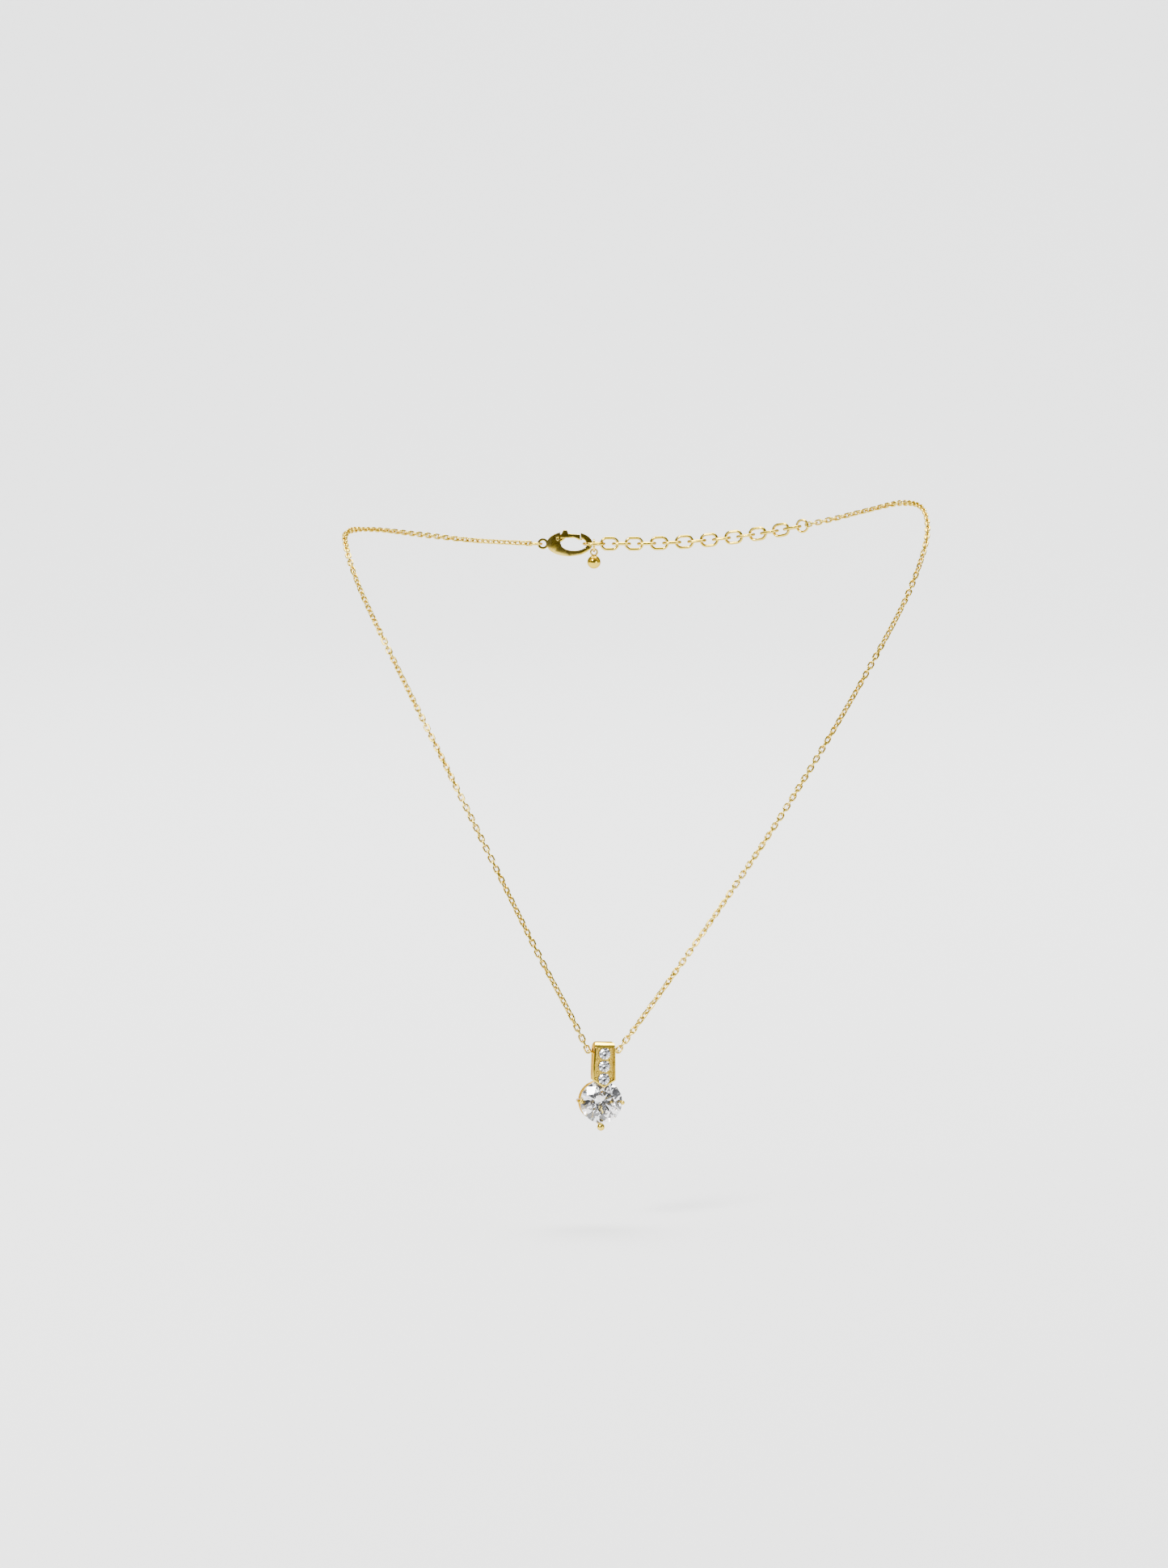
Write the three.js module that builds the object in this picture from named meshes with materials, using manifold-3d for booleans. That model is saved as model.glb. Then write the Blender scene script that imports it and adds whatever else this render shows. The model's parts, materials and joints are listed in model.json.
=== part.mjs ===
// A fine cable-chain necklace with a round-stone pendant, in the shape it has when it is worn.
// Millimetres. +Z is up, the wearer faces -Y, and +X is the right-hand side as seen from the front.
// The origin is the middle of the neck, level with where the chain lies on the shoulders.
import * as THREE from 'three';
import { ConvexGeometry } from 'three/addons/geometries/ConvexGeometry.js';
import { mergeVertices } from 'three/addons/utils/BufferGeometryUtils.js';
import ManifoldModule from 'manifold-3d';

const wasm = await ManifoldModule();
wasm.setup();

// ---- Chain --------------------------------------------------------------------------------
const CHAIN_WIDTH = 1.4;
const CHAIN_SIDES = 8;
const CHAIN_STEPS = 40;
const LINK_LENGTH = 2.12;
const LINK_WIDTH = 1.4;
const LINK_WIRE = 0.42;
const LINK_PLAY = 0.08;
const LINK_SIDES = 6;
const LINK_SEGMENTS = 14;
const FIRST_FLANK_RISE = 5;
const SECOND_FLANK_RISE = 20;

// Middle of the link that the bail sits on.
const BAIL_SEAT = new THREE.Vector3(-7.8, -50, -104);

// Centre line of each strand, from the bail over the shoulder to the back of the neck.
const LEFT_ROUTE = [
  [-11.25, -49.75, -102.75],
  [-14.7, -48.5, -96],
  [-21.1, -46, -84.2],
  [-31.2, -39.5, -64.4],
  [-41.5, -30.4, -44.4],
  [-51.9, -19.3, -24.6],
  [-60, -8.4, -8.8],
  [-63.3, 2, -0.6],
  [-63.6, 14, 2.4],
  [-58.6, 28, 2.4],
  [-48.5, 40.6, 0.7],
  [-37, 49, -1],
  [-24.6, 53.5, -2],
];
const RIGHT_ROUTE = [
  [-4.2, -49.75, -102.65],
  [-0.2, -49, -97.6],
  [8.3, -46.6, -86],
  [18.2, -42.4, -72.2],
  [29.3, -36.2, -56.2],
  [39.6, -28.6, -40.4],
  [49.4, -19.3, -24.7],
  [58.5, -8, -8.7],
  [62.6, 2, 2.2],
  [62.2, 12, 7.6],
  [58.2, 24, 8.4],
  [50.6, 34.6, 6.2],
  [44.2, 39.8, 4.3],
  [38.9, 43.1, 2.85],
];

// ---- Pendant, in its own frame: origin on the bail's seat, front towards -Y ------------------
const PENDANT_YAW = 9;
const PENDANT_LEAN = 2.5;
const PENDANT_TILT = -3.7;
const FIT = 0.05;
const CHAIN_ROOM = 0.3;

const BAIL_WIDTH = 4.4;
const BAIL_SLOT_DEPTH = 2.6;
const SHIELD_THICKNESS = 1.4;
const SHIELD_SHOULDER_WIDTH = 5;
const SHIELD_TOP = 1.3;
const SHIELD_SHOULDER = -5.5;
const SHIELD_POINT = -7.15;
const SHIELD_RIM = 0.35;
const SHIELD_FLOOR_DEPTH = 0.55;
const STRAP_THICKNESS = 0.6;
const STRAP_HEEL = 0.35;
const STRAP_HEEL_RISE = 0.2;
const STRAP_BEVEL = 0.3;
const CAP_TOP = 2.5;
const CAP_CORNER_WIDTH = 0.7;
const CAP_CORNER_HEIGHT = 1.2;
const STRAP_FOOT_TOP = -4.9;
const STRAP_FOOT_BOTTOM = -5.55;
const STRAP_EDGE = 0.2;

const ACCENT_DIAMETER = 2.4;
const ACCENT_PITCH = 2.65;
const ACCENT_COUNT = 3;
const ACCENT_PROUD = 0.1;
const ACCENT_LIGHT_HOLE = 0.8;
const BEAD_RADIUS = 0.27;
const BEAD_SPREAD = 1.36;
const BEAD_CORNER = 0.1;
const BEAD_FOOT_SPREAD = 1.65;

const STONE_DIAMETER = 9;
const STONE_GAP = 0.25;
const STONE_SET_BACK = 1.45;
const TABLE_RATIO = 0.57;
const CROWN_ANGLE = 34;
const PAVILION_RATIO = 0.43;
const GIRDLE_RATIO = 0.03;
const STAR_RATIO = 0.55;
const LOWER_HALF_RATIO = 0.77;

const SEAT_RING_INSET = 0.68;
const SEAT_RING_WIRE = 0.6;
const SEAT_RING_DEPTH = 1.25;
const BASE_RING_INSET = 0.2;
const BASE_RING_WIDTH = 0.75;
const BASE_RING_THICKNESS = 0.8;
const CULET_ROOM = 0.245;
const PRONG_WIRE = 0.75;
const PRONG_BITE = 0.25;
const PRONG_FOOT_INSET = 0.25;
const PRONG_TIP_WIDTH = 0.9;
const PRONG_TIP_LAP = 0.1;
const PRONG_TIP_RISE = 0.87;
const BALL_DIAMETER = 1.6;
const BALL_OUTSET = 0.6;
const BALL_RISE = 0.51;
const POST_DIAMETER = 1;

// ---- Back of the neck -------------------------------------------------------------------------
const RING_ROOM = 0.1;
const CLASP_LENGTH = 10.4;
const CLASP_EYE_BITE = 0.45;
const CLASP_BACK_TAPER = 1.5;
const CLASP_TIP_TAPER = 1.2;
const CLASP_WIDTH = 5.6;
const CLASP_THICKNESS = 2;
const CLASP_WALL = 1.3;
const CLASP_OPENING_LENGTH = 5.8;
const CLASP_OPENING_HEIGHT = 3;
const CLASP_EYE_OUTER = 1.25;
const CLASP_EYE_HOLE = 0.7;
const CLASP_EYE_THICKNESS = 1;
const HOOK_THICKNESS = 1.2;
const GATE_END = 8.5;
const LEVER_PIVOT_X = 3.3;
const LEVER_PIVOT_Z = 1;
const LEVER_TOP = 2.2;
const LEVER_THICKNESS = 0.8;
const LEVER_ROOM = 0.12;
const LEVER_HEIGHT = 0.85;
const LEVER_KNOB = 0.9;
const RIVET_DIAMETER = 0.6;
const SPRING_WIRE = 0.16;
const END_RING_OUTER = 3.2;
const END_RING_WIRE = 0.55;
const CATCH_RING_OUTER = 5.2;
const CATCH_RING_WIRE = 0.7;
const EXTENDER_LENGTH = 4.4;
const EXTENDER_WIDTH = 3.2;
const EXTENDER_WIRE = 0.65;
const EXTENDER_PLAY = 0.26;
const EXTENDER_COUNT = 16;
const EXTENDER_ROUTE = [
  [4, 53.3, -1.9],
  [16, 51.7, -1.1],
  [28, 48.2, 0.6],
];
const DROP_RING_OUTER = 3;
const DROP_RING_WIRE = 0.5;
const DROP_BEAD_DIAMETER = 3;
const DROP_EYE_OUTER = 1.9;
const DROP_EYE_WIRE = 0.45;
const DROP_BEAD_BITE = 0.25;

const rad = THREE.MathUtils.degToRad;

const gold = new THREE.MeshStandardMaterial({ color: 0xe3bf7c, roughness: 0.25, metalness: 1 });
const deepGold = new THREE.MeshStandardMaterial({ color: 0xd9a441, roughness: 0.35, metalness: 1 });
const steel = new THREE.MeshStandardMaterial({ color: 0xb8bcc2, roughness: 0.4, metalness: 1 });
const crystal = new THREE.MeshStandardMaterial({ color: 0xf2f5f8, roughness: 0.05, metalness: 0 });

// ---- Solids -----------------------------------------------------------------------------------
function solidOf(geometry) {
  const plain = (geometry.index ? geometry.toNonIndexed() : geometry).clone();
  plain.deleteAttribute('normal');
  plain.deleteAttribute('uv');
  const merged = mergeVertices(plain, 1e-4);
  const mesh = new wasm.Mesh({
    numProp: 3,
    vertProperties: new Float32Array(merged.attributes.position.array),
    triVerts: new Uint32Array(merged.index.array),
  });
  mesh.merge();
  return new wasm.Manifold(mesh);
}

function geometryOf(solid) {
  const mesh = solid.getMesh();
  const geometry = new THREE.BufferGeometry();
  geometry.setAttribute('position', new THREE.BufferAttribute(new Float32Array(mesh.vertProperties), 3));
  geometry.setIndex(new THREE.BufferAttribute(new Uint32Array(mesh.triVerts), 1));
  geometry.computeVertexNormals();
  return geometry;
}

function addPiece(parent, name, geometry, material) {
  const mesh = new THREE.Mesh(geometry, material);
  mesh.name = name;
  parent.add(mesh);
  return mesh;
}

function at(geometry, x, y, z) {
  return geometry.translate(x, y, z);
}

// A plate whose outline is drawn in x and z; it fills the depth from frontY to backY.
function plate(outline, frontY, backY) {
  const shape = new THREE.Shape(outline.map(([x, z]) => new THREE.Vector2(x, z)));
  const geometry = new THREE.ExtrudeGeometry(shape, { depth: backY - frontY, bevelEnabled: false });
  geometry.rotateX(Math.PI / 2);
  return at(geometry, 0, backY, 0);
}

function roundBar(diameter, frontY, backY, sides = 16) {
  const geometry = new THREE.CylinderGeometry(diameter / 2, diameter / 2, backY - frontY, sides);
  return at(geometry, 0, (frontY + backY) / 2, 0);
}

// A round or oval ring of wire, long in x and lying in the x-y plane.
function wireRing(length, width, wire, segments, sides) {
  const geometry = new THREE.TorusGeometry((width - wire) / 2, wire / 2, sides, segments);
  const stretch = (length - width) / 2;
  const position = geometry.attributes.position;
  for (let i = 0; i < position.count; i += 1) {
    const turn = Math.floor(i % (segments + 1));
    const side = Math.cos((2 * Math.PI * turn) / segments) > 0 ? 1 : -1;
    position.setX(i, position.getX(i) + side * stretch);
  }
  return geometry;
}

function sweep(points, width, sides, steps) {
  const section = new THREE.Shape();
  for (let i = 0; i < sides; i += 1) {
    const angle = (2 * Math.PI * i) / sides;
    section[i ? 'lineTo' : 'moveTo']((width / 2) * Math.cos(angle), (width / 2) * Math.sin(angle));
  }
  const route = new THREE.CatmullRomCurve3(points, false, 'centripetal');
  return new THREE.ExtrudeGeometry(section, { steps, extrudePath: route, bevelEnabled: false });
}

// ---- Round brilliant: table towards -Y, girdle plane at y = 0 ---------------------------------------
function brilliant(diameter, room = 0) {
  const girdle = diameter / 2 + room;
  const table = (TABLE_RATIO * diameter) / 2 + room;
  const half = (GIRDLE_RATIO * diameter) / 2 + room;
  const crown = (girdle - table) * Math.tan(rad(CROWN_ANGLE));
  const pavilion = PAVILION_RATIO * diameter + room;
  const step = Math.PI / 8;
  const tableEdge = table * Math.cos(step);
  const star = tableEdge + STAR_RATIO * (girdle - tableEdge);
  const starHeight = (crown * (girdle - star * Math.cos(step))) / (girdle - table);
  const lower = girdle * (1 - LOWER_HALF_RATIO);
  const lowerDepth = pavilion * (1 - (lower * Math.cos(step)) / girdle);
  const points = [];
  const ring = (radius, y, first, count) => {
    for (let i = 0; i < count; i += 1) {
      const angle = first + (2 * Math.PI * i) / count;
      points.push(new THREE.Vector3(radius * Math.sin(angle), y, radius * Math.cos(angle)));
    }
  };
  ring(table, -half - crown, 0, 8);
  ring(star, -half - starHeight, step, 8);
  ring(girdle, -half, 0, 16);
  ring(girdle, half, 0, 16);
  ring(lower, half + lowerDepth, step, 8);
  points.push(new THREE.Vector3(0, half + pavilion, 0));
  return new ConvexGeometry(points);
}

// ---- Necklace ---------------------------------------------------------------------------------
const necklace = new THREE.Group();
necklace.name = 'pendant_necklace';

function strand(name, route) {
  const points = route.map(([x, y, z]) => new THREE.Vector3(x, y, z));
  addPiece(necklace, name, sweep(points, CHAIN_WIDTH, CHAIN_SIDES, CHAIN_STEPS), gold);
}

strand('chain_left', LEFT_ROUTE);
strand('chain_right', RIGHT_ROUTE);

// Five single links under the bail. The middle one lies flat and the others stand on edge in turn.
const linkPitch = LINK_LENGTH - 2 * LINK_WIRE - LINK_PLAY;
const hookReach = (LINK_LENGTH - LINK_WIRE) / 2;

function bailLink(name, centre, rise, onEdge) {
  const geometry = wireRing(LINK_LENGTH, LINK_WIDTH, LINK_WIRE, LINK_SEGMENTS, LINK_SIDES);
  const link = addPiece(necklace, name, onEdge ? geometry.rotateX(Math.PI / 2) : geometry, gold);
  link.position.copy(BAIL_SEAT).add(centre);
  link.rotation.y = -rad(rise);
}

function flankLinks(side, nearName, farName) {
  const away = (rise) => new THREE.Vector3(side * Math.cos(rad(rise)), 0, Math.sin(rad(rise)));
  const firstHook = new THREE.Vector3(side * hookReach, 0, 0);
  const first = firstHook.clone().addScaledVector(away(FIRST_FLANK_RISE), linkPitch - hookReach);
  const secondHook = first.clone().addScaledVector(away(FIRST_FLANK_RISE), hookReach);
  const second = secondHook.clone().addScaledVector(away(SECOND_FLANK_RISE), linkPitch - hookReach);
  bailLink(nearName, first, side * FIRST_FLANK_RISE, true);
  bailLink(farName, second, side * SECOND_FLANK_RISE, false);
}

flankLinks(-1, 'bail_link_2', 'bail_link_1');
flankLinks(1, 'bail_link_4', 'bail_link_5');
bailLink('bail_link_3', new THREE.Vector3(), 0, false);

// ---- Pendant ----------------------------------------------------------------------------------
const pendantTurn = new THREE.Group();
pendantTurn.position.copy(BAIL_SEAT);
pendantTurn.rotation.z = rad(PENDANT_YAW);
necklace.add(pendantTurn);
const pendant = new THREE.Group();
pendant.rotation.set(rad(PENDANT_TILT), rad(PENDANT_LEAN), 0);
pendantTurn.add(pendant);

const slotFront = -BAIL_SLOT_DEPTH / 2;
const shieldFront = slotFront - SHIELD_THICKNESS;
const strapBack = BAIL_SLOT_DEPTH / 2 + STRAP_THICKNESS;
const accentGirdle = shieldFront + ACCENT_PROUD + (GIRDLE_RATIO * ACCENT_DIAMETER) / 2 + 0.1;
const accentHeights = Array.from({ length: ACCENT_COUNT }, (_, i) => -i * ACCENT_PITCH);

function shieldOutline(inset, top) {
  const half = BAIL_WIDTH / 2 - inset;
  const shoulder = SHIELD_SHOULDER_WIDTH / 2 - inset;
  const slope = Math.hypot(SHIELD_SHOULDER_WIDTH / 2, SHIELD_SHOULDER - SHIELD_POINT);
  const lift = (inset * slope) / (SHIELD_SHOULDER_WIDTH / 2);
  return [
    [-half, top],
    [-shoulder, SHIELD_SHOULDER + inset / 2],
    [0, SHIELD_POINT + lift],
    [shoulder, SHIELD_SHOULDER + inset / 2],
    [half, top],
  ];
}

function shield() {
  let body = solidOf(plate(shieldOutline(0, SHIELD_TOP), shieldFront, slotFront));
  const floorY = shieldFront + SHIELD_FLOOR_DEPTH;
  body = body.subtract(solidOf(plate(shieldOutline(SHIELD_RIM, SHIELD_TOP + 1), shieldFront - 1, floorY)));
  const rows = accentHeights.slice(1).map((z) => [BEAD_SPREAD, z + ACCENT_PITCH / 2]);
  rows.push([BEAD_SPREAD - BEAD_CORNER, ACCENT_PITCH / 2 - BEAD_RADIUS - FIT]);
  rows.push([BEAD_FOOT_SPREAD, accentHeights[ACCENT_COUNT - 1]]);
  for (const [spread, height] of rows) {
    for (const side of [-1, 1]) {
      const bead = new THREE.SphereGeometry(BEAD_RADIUS, 10, 8);
      body = body.add(solidOf(at(bead, side * spread, floorY - 0.12, height)));
      const stem = roundBar(1.6 * BEAD_RADIUS, floorY - 0.12, floorY + 0.1, 8);
      body = body.add(solidOf(at(stem, side * spread, 0, height)));
    }
  }
  for (const z of accentHeights) {
    body = body.subtract(solidOf(at(brilliant(ACCENT_DIAMETER, FIT), 0, accentGirdle, z)));
    const light = roundBar(ACCENT_LIGHT_HOLE, accentGirdle + 0.2, slotFront + 1, 12);
    body = body.subtract(solidOf(at(light, 0, 0, z)));
  }
  return geometryOf(body);
}
addPiece(pendant, 'bail_shield', shield(), deepGold);

// The strap's side view is drawn in y and z, and the strap is as wide as the bail in x.
function strap() {
  const outline = [];
  const arc = (y, z, radius, from, to, count) => {
    for (let i = 0; i <= count; i += 1) {
      const angle = rad(from + ((to - from) * i) / count);
      outline.push([y + radius * Math.cos(angle), z + radius * Math.sin(angle)]);
    }
  };
  const capRadius = (strapBack - shieldFront) / 2;
  const capY = (strapBack + shieldFront) / 2;
  const capZ = CAP_TOP - capRadius;
  const slotRadius = BAIL_SLOT_DEPTH / 2;
  const slotZ = CHAIN_WIDTH / 2 + CHAIN_ROOM - slotRadius;
  const shieldSide = slotFront + FIT;
  const capEdge = SHIELD_TOP + FIT;
  const frontAngle = 180 - THREE.MathUtils.radToDeg(Math.asin((capEdge - capZ) / capRadius));
  const slotEnd = 180 - THREE.MathUtils.radToDeg(Math.acos(-shieldSide / slotRadius));
  arc(capY, capZ, capRadius, frontAngle, 0, 14);
  outline.push([strapBack, STRAP_FOOT_TOP + STRAP_HEEL_RISE], [strapBack - STRAP_HEEL, STRAP_FOOT_BOTTOM]);
  outline.push([shieldSide, STRAP_FOOT_BOTTOM], [shieldSide, STRAP_FOOT_TOP]);
  outline.push([slotRadius - STRAP_BEVEL, STRAP_FOOT_TOP], [slotRadius, STRAP_FOOT_TOP + STRAP_BEVEL]);
  arc(0, slotZ, slotRadius, 0, slotEnd, 10);
  outline.push([shieldSide, capEdge]);
  const shape = new THREE.Shape(outline.map(([y, z]) => new THREE.Vector2(y, z)));
  const width = BAIL_WIDTH - 2 * STRAP_EDGE;
  const geometry = new THREE.ExtrudeGeometry(shape, {
    depth: width,
    bevelThickness: STRAP_EDGE,
    bevelSize: STRAP_EDGE / 2,
    bevelOffset: -STRAP_EDGE / 2,
    bevelSegments: 2,
  });
  geometry.rotateX(Math.PI / 2);
  geometry.rotateZ(Math.PI / 2);
  const front = [[-BAIL_WIDTH, STRAP_FOOT_BOTTOM - 1], [BAIL_WIDTH, STRAP_FOOT_BOTTOM - 1]];
  front.push([BAIL_WIDTH, CAP_TOP - CAP_CORNER_HEIGHT]);
  for (let i = 0; i <= 12; i += 1) {
    const angle = (Math.PI * i) / 12;
    const side = i === 6 ? 0 : Math.sign(6 - i);
    const middle = side * (BAIL_WIDTH / 2 - CAP_CORNER_WIDTH);
    front.push([
      middle + CAP_CORNER_WIDTH * Math.cos(angle),
      CAP_TOP - CAP_CORNER_HEIGHT * (1 - Math.sin(angle)),
    ]);
  }
  front.push([-BAIL_WIDTH, CAP_TOP - CAP_CORNER_HEIGHT]);
  const side = solidOf(at(geometry, -width / 2, 0, 0));
  return geometryOf(side.intersect(solidOf(plate(front, shieldFront - 1, strapBack + 1))));
}
addPiece(pendant, 'bail_strap', strap(), gold);

['accent_stone_top', 'accent_stone_middle', 'accent_stone_bottom'].forEach((name, i) => {
  addPiece(pendant, name, at(brilliant(ACCENT_DIAMETER), 0, accentGirdle, accentHeights[i]), crystal);
});

// The head is the stone and its basket. Its own origin is the middle of the stone's girdle.
const stoneRadius = STONE_DIAMETER / 2;
const head = new THREE.Group();
head.position.set(0, slotFront + STONE_SET_BACK, STRAP_FOOT_BOTTOM - STONE_GAP - stoneRadius);
pendant.add(head);

addPiece(head, 'main_stone', brilliant(STONE_DIAMETER), crystal);

// The seat ring under the girdle.
const seatRing = new THREE.TorusGeometry(stoneRadius - SEAT_RING_INSET, SEAT_RING_WIRE / 2, 8, 36);
seatRing.rotateX(Math.PI / 2);
addPiece(head, 'seat_ring', at(seatRing, 0, SEAT_RING_DEPTH, 0), gold);

// The base ring is flat behind, where the pendant lies on the chest, and is notched for the prongs.
const culet = (GIRDLE_RATIO / 2 + PAVILION_RATIO) * STONE_DIAMETER;
const ringBack = culet + CULET_ROOM;
const ringFront = ringBack - BASE_RING_THICKNESS;
const ringOuter = stoneRadius - BASE_RING_INSET;
const prongRadius = stoneRadius - PRONG_BITE + PRONG_WIRE / 2;

function baseRing() {
  const profile = [
    [ringOuter - BASE_RING_WIDTH, ringFront],
    [ringOuter, ringFront],
    [ringOuter, ringBack],
    [ringOuter - BASE_RING_WIDTH, ringBack],
    [ringOuter - BASE_RING_WIDTH, ringFront],
  ];
  const turned = new THREE.LatheGeometry(profile.map(([x, y]) => new THREE.Vector2(x, y)), 48);
  let ring = solidOf(turned);
  const notch = roundBar(PRONG_WIRE + 2 * FIT, ringFront - 1, ringBack + 1, 12);
  const reach = prongRadius - PRONG_FOOT_INSET;
  for (const [x, z] of [[0, -reach], [reach, 0], [-reach, 0]]) {
    ring = ring.subtract(solidOf(at(notch.clone(), x, 0, z)));
  }
  return ring;
}
const ring = baseRing();
addPiece(head, 'base_ring', geometryOf(ring), gold);

// Prongs at three, six and nine o'clock. Each is drawn at six o'clock and turned into its place.
const stoneRoom = solidOf(brilliant(STONE_DIAMETER, FIT));

function addProng(name, clock, tipRadius, tipRise, tipWidth) {
  const wire = [
    new THREE.Vector3(0, ringBack - 0.2, -prongRadius + PRONG_FOOT_INSET),
    new THREE.Vector3(0, SEAT_RING_DEPTH + 1, -prongRadius + 0.1),
    new THREE.Vector3(0, 0, -prongRadius - 0.02),
    new THREE.Vector3(0, -tipRise, -tipRadius),
  ];
  const tip = at(new THREE.SphereGeometry(tipWidth / 2, 14, 10), 0, -tipRise, -tipRadius);
  const body = solidOf(sweep(wire, PRONG_WIRE, 10, 12)).add(solidOf(tip));
  const turned = body.rotate([0, clock * 30 - 180, 0]).subtract(stoneRoom).subtract(ring);
  addPiece(head, name, geometryOf(turned), gold);
}
const clawRadius = stoneRadius - PRONG_TIP_LAP;
addProng('prong_bottom', 6, prongRadius + BALL_OUTSET, BALL_RISE, BALL_DIAMETER);
addProng('prong_right', 9, clawRadius, PRONG_TIP_RISE, PRONG_TIP_WIDTH);
addProng('prong_left', 3, clawRadius, PRONG_TIP_RISE, PRONG_TIP_WIDTH);

// The post joins the back of the bail to the base ring at twelve o'clock.
const postLength = head.position.y + ringFront - strapBack - 2 * FIT;
const postHeight = (STRAP_FOOT_BOTTOM - head.position.z + ringOuter) / 2;
const post = roundBar(POST_DIAMETER, ringFront - FIT - postLength, ringFront - FIT, 14);
addPiece(head, 'bail_post', at(post, 0, 0, postHeight), gold);

// ---- Back of the neck -------------------------------------------------------------------------
const leftEnd = new THREE.Vector3(...LEFT_ROUTE[LEFT_ROUTE.length - 1]);
const rightEnd = new THREE.Vector3(...RIGHT_ROUTE[RIGHT_ROUTE.length - 1]);

const endRingReach = (END_RING_OUTER - END_RING_WIRE) / 2;
const endRingX = leftEnd.x + CHAIN_ROOM + END_RING_OUTER / 2;
const endRingLeft = wireRing(END_RING_OUTER, END_RING_OUTER, END_RING_WIRE, 18, 8);
addPiece(necklace, 'end_ring_left', endRingLeft, gold).position.set(endRingX, leftEnd.y, leftEnd.z);

// Lobster clasp in its own frame: its eye at the origin, its hook towards +X, its gate on top.
const clasp = new THREE.Group();
const claspX = endRingX + endRingReach + (CLASP_EYE_HOLE - END_RING_WIRE / 2) - RING_ROOM;
clasp.position.set(claspX, leftEnd.y, leftEnd.z);
necklace.add(clasp);

const claspBack = CLASP_EYE_OUTER - CLASP_EYE_BITE;
const claspMiddle = claspBack + CLASP_LENGTH / 2;
const openingEnd = claspBack + CLASP_LENGTH - CLASP_WALL;
const openingMiddle = openingEnd - CLASP_OPENING_LENGTH / 2;

function ovalOutline(x, z, halfLength, halfHeight, count) {
  return Array.from({ length: count }, (_, i) => {
    const angle = (2 * Math.PI * i) / count;
    return [x + halfLength * Math.cos(angle), z + halfHeight * Math.sin(angle)];
  });
}

function slab(outline, thickness) {
  return solidOf(plate(outline, -thickness / 2, thickness / 2));
}

function claspBody() {
  const outer = ovalOutline(claspMiddle, 0, CLASP_LENGTH / 2, CLASP_WIDTH / 2, 40);
  let body = slab(outer, CLASP_THICKNESS);
  const half = CLASP_THICKNESS / 2;
  const tip = HOOK_THICKNESS / 2;
  const taper = new THREE.Shape([
    new THREE.Vector2(claspBack - 1, -half + 0.3),
    new THREE.Vector2(claspBack + CLASP_BACK_TAPER, -half),
    new THREE.Vector2(claspMiddle, -half),
    new THREE.Vector2(openingEnd - CLASP_TIP_TAPER, -tip),
    new THREE.Vector2(claspBack + CLASP_LENGTH + 1, -tip),
    new THREE.Vector2(claspBack + CLASP_LENGTH + 1, tip),
    new THREE.Vector2(openingEnd - CLASP_TIP_TAPER, tip),
    new THREE.Vector2(claspMiddle, half),
    new THREE.Vector2(claspBack + CLASP_BACK_TAPER, half),
    new THREE.Vector2(claspBack - 1, half - 0.3),
  ]);
  const plan = new THREE.ExtrudeGeometry(taper, { depth: 2 * CLASP_WIDTH, bevelEnabled: false });
  body = body.intersect(solidOf(at(plan, 0, 0, -CLASP_WIDTH)));
  const eye = roundBar(2 * CLASP_EYE_OUTER, -CLASP_EYE_THICKNESS / 2, CLASP_EYE_THICKNESS / 2, 24);
  body = body.add(solidOf(eye));
  body = body.subtract(solidOf(roundBar(2 * CLASP_EYE_HOLE, -2, 2, 20)));
  const opening = ovalOutline(openingMiddle, -0.1, CLASP_OPENING_LENGTH / 2, CLASP_OPENING_HEIGHT / 2, 32);
  body = body.subtract(slab(opening, 4));
  const gap = [
    [LEVER_PIVOT_X + 0.6, 0],
    [GATE_END, 0],
    [GATE_END, CLASP_WIDTH],
    [LEVER_PIVOT_X + 0.6, CLASP_WIDTH],
  ];
  body = body.subtract(slab(gap, 4));
  const pocket = [
    [LEVER_PIVOT_X - 1.1, -0.35],
    [LEVER_PIVOT_X + 1.5, -0.35],
    [LEVER_PIVOT_X + 1.5, CLASP_WIDTH],
    [LEVER_PIVOT_X - 1.1, CLASP_WIDTH],
  ];
  body = body.subtract(slab(pocket, LEVER_THICKNESS + 2 * LEVER_ROOM));
  const rivetHole = roundBar(RIVET_DIAMETER + FIT, -2, 2, 16);
  return body.subtract(solidOf(at(rivetHole, LEVER_PIVOT_X, 0, LEVER_PIVOT_Z)));
}
addPiece(clasp, 'clasp_body', geometryOf(claspBody()), gold);

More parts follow.
